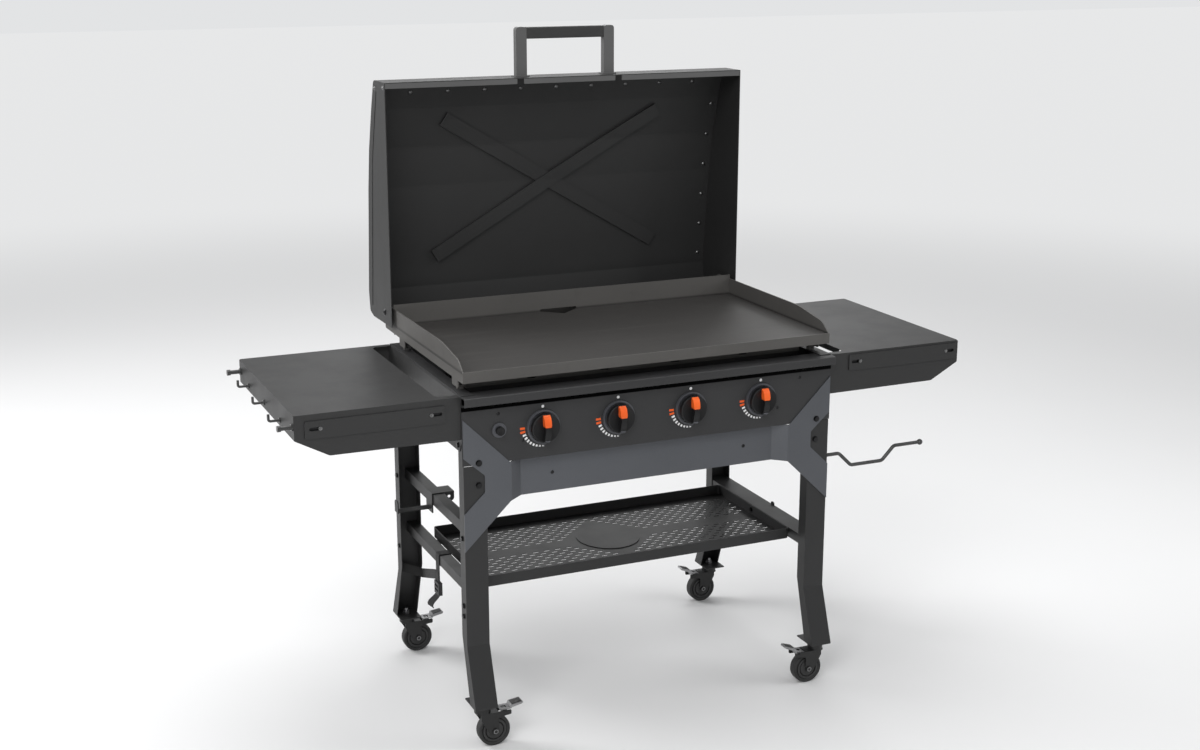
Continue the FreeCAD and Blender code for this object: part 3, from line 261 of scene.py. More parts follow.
def seasoned_steel(name, floor, wall):
    # rolled plate with burnt-on oil: a dark floor, paler walls and front lip, faint clouds
    # and streaks
    paint = Paint(name)
    y, z = paint.axes()[1:]
    cloud = paint.noise(4.5, 6.0, 0.6)
    streak = paint.noise(60.0, 3.0, 0.5, stretch=(0.06, 1.0, 1.0))
    blot = paint.noise(17.0, 5.0, 0.68)
    raised = z.ramp(PLATE_FLOOR, PLATE_FLOOR + 0.006)
    under = (PLATE_UNDER - z).above(0.0)
    upright = raised.most(under).most(y.ramp(PLATE_LIP, PLATE_LIP + 0.004, 1.0, 0.0))
    base = paint.blend(upright, floor, wall)
    base = paint.blend(cloud.ramp(0.35, 0.68) * 0.12, base, tone(floor, 0.5))
    base = paint.blend(streak.ramp(0.5, 0.75) * 0.12, base, tone(wall, 1.1))
    base = paint.blend(blot.ramp(0.55, 0.75) * 0.14, base, tone(floor, 0.6))
    gloss = 0.54 + cloud.ramp(0.3, 0.7) * 0.05 + streak * 0.04
    paint.set(Base_Color=base, Roughness=gloss)
    paint.bump(blot * 0.6 + streak * 0.4, 0.00012, 0.4)
    return paint.material


def bare_steel(name, colour=(0.48, 0.48, 0.49), rough=0.3, heat=0.0):
    paint = Paint(name)
    brushed = paint.noise(240.0, 3.0, 0.5, stretch=(1.0, 0.08, 1.0))
    cloud = paint.noise(9.0, 4.0)
    base = paint.blend(cloud.ramp(0.35, 0.7), tone(colour, 0.8), tone(colour, 1.12))
    if heat:
        base = paint.blend(cloud.ramp(0.45, 0.62) * heat, base, (0.23, 0.16, 0.1))
    paint.set(Base_Color=base, Roughness=rough - 0.05 + brushed * 0.14, Metallic=1.0)
    paint.bump(brushed, 0.00003, 0.4)
    return paint.material


def moulded_plastic(name, colour, rough=0.42, grain=1400.0, depth=0.00004, specular=0.5):
    paint = Paint(name)
    paint.shader.inputs["Specular IOR Level"].default_value = specular
    grainy = paint.noise(grain, 2.0, 0.5)
    cloud = paint.noise(24.0, 3.0)
    base = paint.blend(cloud.ramp(0.35, 0.7), tone(colour, 0.9), tone(colour, 1.12))
    paint.set(Base_Color=base, Roughness=rough - 0.04 + cloud * 0.1)
    paint.bump(grainy, depth, 0.5)
    return paint.material


def tyre_rubber(name, colour):
    paint = Paint(name)
    dust = paint.noise(34.0, 5.0, 0.65)
    grainy = paint.noise(500.0, 3.0)
    base = paint.blend(dust.ramp(0.45, 0.75) * 0.5, colour, tone(colour, 2.0))
    paint.set(Base_Color=base, Roughness=0.55 + dust * 0.2)
    paint.bump(grainy, 0.00008, 0.5)
    return paint.material


def printed_ink(name, colour):
    paint = Paint(name)
    speck = paint.noise(700.0, 2.0)
    base = paint.blend(speck.ramp(0.5, 0.8) * 0.35, colour, tone(colour, 0.78))
    paint.set(Base_Color=base, Roughness=0.5)
    paint.bump(speck, 0.00002, 0.3)
    return paint.material


def webbing(name, colour, edge):
    # ribs across the strap and two stitched edge lines, drawn in the strap's own UV
    paint = Paint(name)
    along, across = paint.axes("UV")[:2]
    rib = (along * 3900.0).wave() * 0.5 + 0.5
    yarn = (across * 2600.0).wave() * 0.5 + 0.5
    weave = rib * 0.65 + yarn * 0.35
    hem = ((across - edge).size() - edge * 0.78).size().ramp(0.0, edge * 0.08, 1.0, 0.0)
    base = paint.blend(weave, tone(colour, 0.65), tone(colour, 1.5))
    base = paint.blend(hem * 0.5, base, tone(colour, 0.4))
    paint.set(Base_Color=base, Roughness=0.85)
    paint.shader.inputs["Sheen Weight"].default_value = 0.06
    paint.bump(weave - hem * 0.4, 0.0004, 0.7)
    return paint.material


# Mesh tools


def clear():
    if bpy.context.object and bpy.context.object.mode != "OBJECT":
        bpy.ops.object.mode_set(mode="OBJECT")
    bpy.ops.object.select_all(action="DESELECT")


def bake():
    """Puts the active piece's place, turn and scale into its mesh."""
    bpy.ops.object.transform_apply(location=True, rotation=True, scale=True)
    return bpy.context.object


def cube(location, scale, rotation=(0, 0, 0)):
    clear()
    bpy.ops.mesh.primitive_cube_add(size=1, location=location, rotation=rotation, scale=scale)
    return bake()


def cylinder(radius, depth, location, vertices):
    """A cylinder whose axis runs from front to back."""
    clear()
    bpy.ops.mesh.primitive_cylinder_add(
        vertices=vertices, radius=radius, depth=depth, location=location,
        rotation=(math.pi / 2, 0, 0))
    return bake()


def duplicate(part):
    clear()
    copy = part.copy()
    copy.data = part.data.copy()
    bpy.context.collection.objects.link(copy)
    bpy.context.view_layer.objects.active = copy
    copy.select_set(True)
    return copy


def merge(pieces):
    clear()
    for piece in pieces:
        piece.select_set(True)
    bpy.context.view_layer.objects.active = pieces[0]
    bpy.ops.object.join()
    return bpy.context.object


def discard(*parts):
    for part in parts:
        bpy.data.objects.remove(part)


def name_piece(name, body, material, *nodes):
    """Ends a piece: its place goes into its mesh, and it gets its finish and its body."""
    piece = bake()
    piece.name = name
    piece.data.name = name
    if not piece.data.materials:
        piece.data.materials.append(material)
    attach(piece, body)
    if nodes:
        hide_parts(*nodes)
    return piece


def pick(piece, test, faces=True):
    """In edit mode, selects the faces or vertices whose place and normal pass a test."""
    bpy.ops.object.mode_set(mode="EDIT")
    bpy.ops.mesh.select_mode(type="FACE" if faces else "VERT")
    mesh = bmesh.from_edit_mesh(piece.data)
    for vert in mesh.verts:
        vert.select = False
    for edge in mesh.edges:
        edge.select = False
    for face in mesh.faces:
        face.select = False
    if faces:
        for face in mesh.faces:
            if test(face.calc_center_median(), face.normal):
                face.select_set(True)
    else:
        for vert in mesh.verts:
            if test(vert.co, vert.normal):
                vert.select_set(True)
    mesh.select_flush_mode()
    bmesh.update_edit_mesh(piece.data)


def done():
    bpy.ops.object.mode_set(mode="OBJECT")


def modify(piece, kind, **settings):
    modifier = piece.modifiers.new(kind.title(), kind)
    for key, value in settings.items():
        setattr(modifier, key, value)
    bpy.context.view_layer.objects.active = piece
    bpy.ops.object.modifier_apply(modifier=modifier.name)


def soften(piece, width, segments, angle):
    """Bevels every edge that turns by more than the angle."""
    modify(piece, "BEVEL", width=width, segments=segments, limit_method="ANGLE", angle_limit=angle)


def smooth(angle=35.0):
    bpy.ops.object.shade_smooth_by_angle(angle=math.radians(angle))


FINISH = {}


def finishes(look):
    """Every named finish, made once from the panel's colours."""
    if FINISH:
        return FINISH
    FINISH["frame"] = powder_coat("Frame powder coat", look.frame_colour, 0.5)
    FINISH["slate"] = powder_coat("Slate apron coat", look.slate_colour, 0.42, metal=0.3)
    FINISH["body"] = powder_coat("Panel powder coat", look.panel_colour, 0.55, depth=0.00008)
    # the control panel's coat has a painted shade band under the brow
    FINISH["panel"] = powder_coat(
        "Control panel coat with painted shade", look.panel_colour, 0.55, depth=0.00008, shade=painted_brow_shade)
    FINISH["shelf"] = powder_coat("Shelf powder coat", look.shelf_colour, 0.5, depth=0.00009)
    FINISH["hood"] = powder_coat("Hood powder coat", look.hood_colour, 0.56, depth=0.00009)
    FINISH["plate"] = seasoned_steel("Seasoned cook plate", look.plate_colour, look.wall_colour)
    FINISH["burner"] = bare_steel("Heat-tinted tube steel", rough=0.34, heat=0.6)
    FINISH["zinc"] = bare_steel("Zinc-plated steel", (0.38, 0.38, 0.39), 0.32)
    FINISH["bolt"] = bare_steel("Blackened bolt steel", (0.035, 0.035, 0.036), 0.36)
    FINISH["rivet"] = bare_steel("Plain rivet steel", (0.2, 0.2, 0.2), 0.4)
    FINISH["lip"] = powder_coat("Hood lip coat", look.lip_colour, 0.42, depth=0.00004)
    FINISH["post"] = powder_coat(
        "Handle post coat", tone(look.lip_colour, 0.95), 0.45, depth=0.00004)
    FINISH["pedal"] = bare_steel("Pressed pedal steel", (0.36, 0.36, 0.365), 0.4)
    FINISH["pad"] = moulded_plastic("Pedal pad rubber", look.pad_colour, 0.5, grain=700.0)
    FINISH["brass"] = bare_steel("Turned brass", (0.6, 0.42, 0.16), 0.26)
    FINISH["bezel"] = moulded_plastic("Slate bezel plastic", look.bezel_colour, 0.36)
    FINISH["knob"] = moulded_plastic("Black knob plastic", look.knob_colour, 0.42, specular=0.3)
    FINISH["pointer"] = moulded_plastic("Orange pointer plastic", look.pointer_colour, 0.36)
    FINISH["white_ink"] = printed_ink("White dial ink", (0.95, 0.95, 0.95))
    FINISH["orange_ink"] = printed_ink("Orange dial ink", look.pointer_colour)
    FINISH["bright"] = powder_coat(
        "Gloss wire coat", look.wire_colour, 0.3, grain=500.0, depth=0.00002, metal=0.4)
    FINISH["fork"] = powder_coat(
        "Caster grey coat", look.caster_colour, 0.38, metal=0.5, contrast=0.1)
    FINISH["tyre"] = tyre_rubber("Caster tread", look.tyre_colour)
    FINISH["wheel"] = moulded_plastic("Caster hub plastic", tone(look.tyre_colour, 1.4), 0.4)
    FINISH["grip"] = grip_finish("Knurled grip coat", look.hood_colour)
    FINISH["web"] = webbing("Black strap webbing", look.web_colour, 0.0125)
    return FINISH


def grip_finish(name, colour):
    # two crossing sets of fine grooves round the bar
    paint = Paint(name)
    x, y, z = paint.axes()
    one = ((x + y + z) * 1250.0).wave()
    two = ((x - y - z) * 1250.0).wave()
    knurl = (one * two * 0.5 + 0.5).clamp()
    base = paint.blend(knurl, tone(colour, 0.5), tone(colour, 2.2))
    paint.set(Base_Color=base, Roughness=0.5, Metallic=0.2)
    paint.bump(knurl, 0.0006, 0.6)
    return paint.material


CAD_FINISH = {
    "frame": [
        "leg_front_left", "leg_front_right", "leg_rear_left", "leg_rear_right", "rail_left_lower",
        "rail_left_upper", "rail_right_lower", "bottom_shelf", "tank_bracket", "grease_cup_bracket",
        "strap_fittings", "grease_cup"],
    "slate": ["front_apron"],
    "body": ["firebox"],
    "panel": ["control_panel"],
    "shelf": [
        "shelf_top_left", "shelf_top_right", "shelf_frame_left", "shelf_frame_right",
        "shelf_strips"],
    "hood": ["hood_shell", "hood_sides", "hood_brace", "handle_grip"],
    "plate": ["griddle_plate", "griddle_feet"],
    "burner": ["burners"],
    "zinc": [
        "caster_mounts", "valve_stem_1", "valve_stem_2", "valve_stem_3", "valve_stem_4"],
    "bolt": ["hood_pins", "fasteners"],
    "rivet": ["hood_rivets"],
    "lip": ["hood_lip"],
    "post": ["handle_posts"],
    "brass": ["gas_manifold", "valve_bodies"],
    "bezel": ["panel_bezels"],
    "knob": ["igniter_button", "knob_1", "knob_2", "knob_3", "knob_4"],
    "bright": ["shelf_hooks", "paper_towel_rod"],
    "fork": ["caster_fork_" + str(k) for k in range(1, 5)],
    "pedal": ["caster_pedal_" + str(k) for k in range(1, 5)],
    "tyre": ["caster_wheel_" + str(k) for k in range(1, 5)],
    "web": ["tank_strap"],
}


def swatch(name, description, default):
    return bpy.props.FloatVectorProperty(
        name=name, description=description, subtype="COLOR", default=default)


def span(name, description, default):
    return bpy.props.FloatProperty(
        name=name, description=description, default=default, unit="LENGTH")


class GriddleLook(bpy.types.PropertyGroup):
    """Colours of the station's finishes."""

    frame_colour: swatch("Frame", "Coat of the legs, rails and tray", (0.019, 0.019, 0.0193))
    slate_colour: swatch("Apron", "Coat of the front apron", (0.1, 0.105, 0.116))
    panel_colour: swatch("Panel", "Coat of the control panel and firebox", (0.028, 0.028, 0.029))
    shelf_colour: swatch("Shelves", "Coat of the side shelves", (0.024, 0.024, 0.024))
    lip_colour: swatch("Hood lip", "Coat of the hood's front lip", (0.11, 0.11, 0.11))
    wire_colour: swatch("Wire", "Coat of the hooks and the rod", (0.07, 0.07, 0.07))
    hood_colour: swatch("Hood", "Coat of the hood", (0.024, 0.024, 0.024))
    plate_colour: swatch("Cook plate", "Colour of the seasoned steel", (0.034, 0.032, 0.03))
    wall_colour: swatch("Plate walls", "Colour of the plate's walls and lip", (0.094, 0.09, 0.085))
    bezel_colour: swatch("Bezels", "Colour of the knob bezels", (0.078, 0.08, 0.09))
    knob_colour: swatch("Knobs", "Colour of the knobs and button", (0.008, 0.008, 0.0085))
    pointer_colour: swatch("Pointers", "Colour of the knob pointers", (1.0, 0.135, 0.016))
    caster_colour: swatch("Casters", "Colour of the caster forks", (0.03, 0.03, 0.03))
    pad_colour: swatch("Pedal pads", "Colour of the pads on the brake pedals", (0.04, 0.04, 0.04))
    tyre_colour: swatch("Tread", "Colour of the caster wheels", (0.018, 0.018, 0.018))
    web_colour: swatch("Webbing", "Colour of the tank strap", (0.012, 0.012, 0.012))


class GriddleSizes(bpy.types.PropertyGroup):
    """Sizes of the pieces that are added to the frame."""

    tick_count: bpy.props.IntProperty(
        name="Dial ticks", description="Marks on each knob's quarter arc", default=10, min=2)
    tick_inner: span("Tick circle", "Radius at which the ticks begin", 0.044)
    knob_radius: span("Knob radius", "Radius of the knob's skirt", 0.034)
    grip_height: span("Knob bar", "How far the bar stands off the skirt", 0.0155)
    wheel_radius: span("Wheel radius", "Radius of the caster wheels", 0.0385)
    tread_width: span("Tread width", "Width of the caster tread", 0.025)


class GRIDDLE_OT_finishes(bpy.types.Operator):
    """Gives each metal or plastic part of the frame its finish"""

    bl_idname = "griddle.finishes"
    bl_label = "Finish the frame"

    def execute(self, context):
        made = finishes(context.scene.griddle_look)
        for key, names in CAD_FINISH.items():
            for name in names:
                node = NODES[name]
                node.data.materials.clear()
                node.data.materials.append(made[key])
        return {"FINISHED"}


class GRIDDLE_OT_knobs(bpy.types.Operator):
    """Models one control knob and copies it to each valve"""

    bl_idname = "griddle.knobs"
    bl_label = "Model the knobs"

    def skirt(self, radius):
        piece = cylinder(radius, SKIRT_DEPTH, (0, KNOB_BACK - SKIRT_DEPTH / 2, KNOB_Z), 72)
        pick(piece, lambda centre, normal: normal.y < -0.9)
        bpy.ops.mesh.inset(thickness=0.0028)
        bpy.ops.transform.translate(value=(0, -0.0012, 0))
        bpy.ops.mesh.inset(thickness=0.0022)
        bpy.ops.transform.translate(value=(0, 0.0009, 0))
        pick(piece, lambda centre, normal: normal.y > 0.9)
        bpy.ops.mesh.inset(thickness=0.003)
        bpy.ops.transform.translate(value=(0, -0.004, 0))
        done()
        soften(piece, 0.0007, 2, 0.6)
        smooth()
        return piece

    def bar(self, radius, height):
        # an arched fin: full height at the middle, falling to the skirt's rim at each end
        front = KNOB_BACK - SKIRT_DEPTH
        reach = radius * 0.93
        piece = cube((0, front - height / 2 + 0.001, KNOB_Z), (0.0185, height, reach * 2))
        pick(piece, lambda centre, normal: True)
        bpy.ops.mesh.subdivide(number_cuts=11)
        done()
        for step in range(7):
            rise = step / 6
            pick(piece, lambda co, n: abs(abs(co.z - KNOB_Z) / reach - rise) < 0.02, faces=False)
            arch = 0.14 + 0.86 * math.sqrt(1 - rise ** 2)
            bpy.ops.transform.resize(value=(1, arch, 1), center_override=(0, front, KNOB_Z))
            done()
        pick(piece, lambda co, normal: abs(co.z - KNOB_Z) < 0.006, faces=False)
        bpy.ops.transform.resize(value=(0.84, 1, 1), center_override=(0, 0, KNOB_Z))
        done()
        return piece

    def half(self, bar, upper):
        copy = duplicate(bar)
        bpy.ops.object.mode_set(mode="EDIT")
        bpy.ops.mesh.select_all(action="SELECT")
        bpy.ops.mesh.bisect(
            plane_co=(0, 0, KNOB_Z + (0.0052 if upper else 0.005)), plane_no=(0, 0, 1),
            use_fill=True, clear_inner=upper, clear_outer=not upper)
        done()
        pick(copy, lambda centre, normal: True)
        slim = 0.9 if upper else 0.8
        bpy.ops.transform.resize(value=(slim, 1.0, 1.0), center_override=(0, 0, KNOB_Z))
        if upper:
            bpy.ops.transform.translate(value=(0, -0.0006, 0))
        done()
        soften(copy, 0.0012, 3, 0.7)
        smooth()
        return copy

    def tab(self, radius):
        # the small paler tab at the fin's lower end
        place = (0, KNOB_BACK - 0.0145, KNOB_Z - radius * 0.76)
        piece = cube(place, (0.011, 0.009, 0.0125), (-0.5, 0, 0))
        pick(piece, lambda centre, normal: normal.y < -0.6)
        bpy.ops.mesh.inset(thickness=0.0015)
        bpy.ops.transform.translate(value=(0, 0.0006, 0))
        done()
        soften(piece, 0.0006, 2, 0.5)
        smooth()
        return piece

    def execute(self, context):
        sizes = context.scene.griddle_sizes
        made = finishes(context.scene.griddle_look)
        skirt = self.skirt(sizes.knob_radius)
        bar = self.bar(sizes.knob_radius, sizes.grip_height)
        lower = self.half(bar, False)
        upper = self.half(bar, True)
        tab = self.tab(sizes.knob_radius)
        discard(bar)
        parts = (
            (skirt, "knob", "knob_skirt"), (lower, "knob", "knob_bar"),
            (upper, "pointer", "knob_pointer"), (tab, "bezel", "knob_tab"))
        for k, x in enumerate(KNOB_X):
            for part, finish, name in parts:
                copy = duplicate(part)
                copy.location = (x, 0, 0)
                body = "knob_%d" % (k + 1)
                name_piece("%s_%d" % (name, k + 1), body, made[finish], body)
        discard(skirt, lower, upper, tab)
        return {"FINISHED"}


class GRIDDLE_OT_brow(bpy.types.Operator):
    """Models the deep brow that hangs over the vents of the control panel"""

    bl_idname = "griddle.brow"
    bl_label = "Model the brow"

    def execute(self, context):
        made = finishes(context.scene.griddle_look)
        low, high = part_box("control_panel")
        front = low.y - 0.0006
        back = PANEL_FACE - 0.0007
        top = high.z - 0.0005
        piece = cube(
            (0, (front + back) / 2, (top + BROW_EDGE) / 2),
            (high.x - low.x, back - front, top - BROW_EDGE))
        edge = BROW_EDGE + 0.001
        pick(piece, lambda co, normal: co.z < edge and co.y > back - 0.001, faces=False)
        bpy.ops.transform.translate(value=(0, 0, -BROW_DROP))
        done()
        soften(piece, 0.0014, 3, 0.8)
        smooth()
        name_piece("panel_brow", "stand", made["body"])
        return {"FINISHED"}


class GRIDDLE_OT_slot_screws(bpy.types.Operator):
    """Models the screw and backing plate of each long slot in the shelves' front strips"""

    bl_idname = "griddle.slot_screws"
    bl_label = "Model the slot screws"

    def screw(self, x, z, face):
        piece = cylinder(0.0046, 0.005, (x, face + 0.0012, z), 24)
        pick(piece, lambda centre, normal: normal.y < -0.9)
        bpy.ops.mesh.inset(thickness=0.0024)
        bpy.ops.mesh.inset(thickness=0.0003)
        bpy.ops.transform.translate(value=(0, 0.001, 0))
        done()
        soften(piece, 0.0008, 2, 0.8)
        smooth()
        return piece

    def backing(self, x, z, face):
        piece = cube((x, face + 0.0014, z), (0.042, 0.0016, 0.018))
        pick(piece, lambda centre, normal: abs(normal.y) > 0.9)
        bpy.ops.mesh.inset(thickness=0.002)
        done()
        soften(piece, 0.0005, 2, 0.8)
        return piece

    def gather(self, pieces, name, material):
        merge(pieces)
        piece = name_piece(name, "stand", material)

    def execute(self, context):
        made = finishes(context.scene.griddle_look)
        screws = []
        plates = []
        for side, x0, x1, z in STRIP_SLOTS:
            for start, end, head in ((x0 + 0.007, x0 + 0.035, 1), (x1 - 0.038, x1 - 0.01, -1)):
                middle = side * (start + end) / 2
                screws.append(self.screw(middle + side * head * 0.0105, z, STRIP_FACE))
                plates.append(self.backing(middle, z, APRON_BACK))
        self.gather(screws, "shelf_slot_screws", made["rivet"])
        self.gather(plates, "shelf_slot_plates", made["bolt"])
        return {"FINISHED"}


class GRIDDLE_OT_dial_marks(bpy.types.Operator):
    """Prints the ticks and dots round each knob"""

    bl_idname = "griddle.dial_marks"
    bl_label = "Print the dial marks"

    def tick(self, x, z, turn, length, width):
        return cube((x, PANEL_FACE - 0.00012, z), (length, 0.00028, width), (0, -turn, 0))

    def gather(self, pieces, name, finish, made):
        piece = merge(pieces)
        soften(piece, 0.0006, 2, 0.8)
        name_piece(name, "stand", made[finish])

    def execute(self, context):
        sizes = context.scene.griddle_sizes
        made = finishes(context.scene.griddle_look)
        orange = []
        white = []
        for x in KNOB_X:
            for k in range(sizes.tick_count):
                turn = math.pi + k * math.pi / 2 / (sizes.tick_count - 1)
                # the first two are long and orange, and the white ones grow shorter
                length, width = (0.012, 0.0052) if k < 2 else (0.0085 - 0.0007 * (k - 2), 0.0046)
                middle = sizes.tick_inner + length / 2
                place = (x + middle * math.cos(turn), KNOB_Z + middle * math.sin(turn))
                (orange if k < 2 else white).append(self.tick(*place, turn, length, width))
            dot = (x, PANEL_FACE - 0.00012, KNOB_Z + DOT_RISE)
            white.append(cylinder(DOT_RADIUS, 0.0003, dot, 24))
        self.gather(orange, "dial_marks_orange", "orange_ink", made)
        self.gather(white, "dial_marks_white", "white_ink", made)
        return {"FINISHED"}


class GRIDDLE_OT_wheels(bpy.types.Operator):
    """Models one caster wheel with its tread and hub, and copies it to each fork"""

    bl_idname = "griddle.wheels"
    bl_label = "Model the caster wheels"

    def tread(self, radius, width):
        # a broad flat shoulder that falls into a round groove beside the hub
        piece = cylinder(radius, width, (0, 0, 0), 72)
        for side in (-1, 1):
            pick(piece, lambda centre, normal: normal.y * side > 0.9)
            bpy.ops.mesh.inset(thickness=radius * 0.2)
            bpy.ops.transform.translate(value=(0, -side * 0.0006, 0))
            bpy.ops.mesh.inset(thickness=radius * 0.06)
            bpy.ops.transform.translate(value=(0, -side * 0.0036, 0))
            bpy.ops.mesh.delete(type="FACE")
            done()
        bpy.ops.object.mode_set(mode="EDIT")
        bpy.ops.mesh.select_all(action="DESELECT")
        bpy.ops.mesh.select_mode(type="EDGE")
        bpy.ops.mesh.select_non_manifold()
        bpy.ops.mesh.bridge_edge_loops()
        bpy.ops.mesh.select_all(action="SELECT")
        bpy.ops.mesh.normals_make_consistent(inside=False)
        done()
        soften(piece, 0.0032, 4, 0.9)
        smooth(50)
        return piece

    def hub(self, radius, width):
        # a flat face with one round groove in it, and a raised middle about the axle
        edge = radius * 0.745
        piece = cylinder(edge, width, (0, 0, 0), 60)
        for side in (-1, 1):
            pick(piece, lambda centre, normal: normal.y * side > 0.9)
            bpy.ops.mesh.inset(thickness=edge - radius * 0.6)
            bpy.ops.mesh.inset(thickness=0.0009)
            bpy.ops.transform.translate(value=(0, -side * 0.004, 0))
            bpy.ops.mesh.inset(thickness=0.0009)
            bpy.ops.mesh.inset(thickness=0.0009)
            bpy.ops.transform.translate(value=(0, side * 0.0034, 0))
            bpy.ops.mesh.inset(thickness=radius * 0.6 - 0.0027 - 0.0105)
            bpy.ops.mesh.inset(thickness=0.001)
            bpy.ops.transform.translate(value=(0, side * 0.0012, 0))
            done()
        soften(piece, 0.0005, 2, 0.6)
        smooth()
        return piece

    def nuts(self, centre, name, body, material):
        # a hexagon nut on each end of the axle
        made = []
        for side in (-1, 1):
            piece = cylinder(0.0062, 0.0038, (centre.x, centre.y + side * 0.0189, centre.z), 6)
            pick(piece, lambda middle, normal: normal.y * side > 0.9)
            bpy.ops.mesh.inset(thickness=0.0014)
            bpy.ops.mesh.inset(thickness=0.0006)
            bpy.ops.transform.translate(value=(0, -side * 0.0006, 0))
            done()
            soften(piece, 0.0006, 2, 0.6)
            smooth()
            made.append(piece)
        merge(made)
        name_piece(name, body, material)

    def execute(self, context):
        sizes = context.scene.griddle_sizes
        made = finishes(context.scene.griddle_look)
        parts = (
            (self.tread(sizes.wheel_radius - 0.0001, sizes.tread_width), "tyre", "caster_tread"),
            (self.hub(sizes.wheel_radius, sizes.tread_width - 0.001), "wheel", "caster_hub"))
        for k in range(1, 5):
            low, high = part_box("caster_wheel_%d" % k)
            centre = (low + high) / 2
            for part, finish, name in parts:
                copy = duplicate(part)
                copy.location = centre
                name_piece(
                    "%s_%d" % (name, k), "caster_roll_%d" % k, made[finish], "caster_wheel_%d" % k)
            self.nuts(centre, "axle_nuts_%d" % k, "caster_swivel_%d" % k, made["pedal"])
        discard(*(part for part, finish, name in parts))
        return {"FINISHED"}


class GRIDDLE_OT_pedal_pads(bpy.types.Operator):
    """Models the studded pad of one brake pedal and copies it to each caster"""

    bl_idname = "griddle.pedal_pads"
    bl_label = "Model the pedal pads"

    def pad(self):
        # lies on the raised end of a pedal that reaches toward minus X from its pin
        place = (PEDAL_PIN.x - 0.0285, 0, PEDAL_PIN.z + 0.0161)
        piece = cube(place, (0.0245, 0.0225, 0.0022), (0, PEDAL_SLOPE, 0))
        pick(piece, lambda co, normal: co.x < PEDAL_PIN.x - 0.035, faces=False)
        bpy.ops.transform.resize(value=(1, 0.8, 1), center_override=(PEDAL_PIN.x, 0, PEDAL_PIN.z))
        done()
        soften(piece, 0.0007, 2, 0.9)
        pick(piece, lambda centre, normal: normal.z > 0.97)
        bpy.ops.mesh.subdivide(number_cuts=5)
        bpy.ops.mesh.inset(thickness=0.0006, use_individual=True)
        bpy.ops.transform.translate(value=(0, 0, 0.0005))
        done()
        smooth(30)
        return piece

    def execute(self, context):
        made = finishes(context.scene.griddle_look)
        pad = self.pad()
        for k in range(1, 5):
            low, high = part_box("caster_pedal_%d" % k)
            y = (low.y + high.y) / 2
            copy = duplicate(pad)
            if low.x < 0:
                copy.matrix_world = Matrix.Translation((0, y, 0)) @ Matrix.Rotation(math.pi, 4, "Z")
            else:
                place = Matrix.Translation((PEDAL_PIN.x, y, PEDAL_PIN.z))
                lift = Matrix.Rotation(PEDAL_LIFT, 4, "Y")
                copy.matrix_world = place @ lift @ Matrix.Translation(-PEDAL_PIN)
            name_piece("pedal_pad_%d" % k, "caster_brake_%d" % k, made["pad"])
        discard(pad)
        return {"FINISHED"}


class GRIDDLE_OT_grip(bpy.types.Operator):
    """Models the knurled grip between the handle's posts"""

    bl_idname = "griddle.grip"
    bl_label = "Model the handle grip"

    def execute(self, context):
        made = finishes(context.scene.griddle_look)
        low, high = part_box("handle_grip")
        piece = cube((low + high) / 2, tuple(high - low))
        pick(piece, lambda centre, normal: abs(normal.x) < 0.1)
        bpy.ops.mesh.subdivide(number_cuts=3)
        done()
        pick(piece, lambda centre, normal: abs(normal.x) > 0.9)
        bpy.ops.mesh.inset(thickness=0.002)
        done()
        soften(piece, 0.003, 3, 0.8)
        smooth()
        name_piece("handle_grip_sleeve", "hood", made["grip"], "handle_grip")
        return {"FINISHED"}


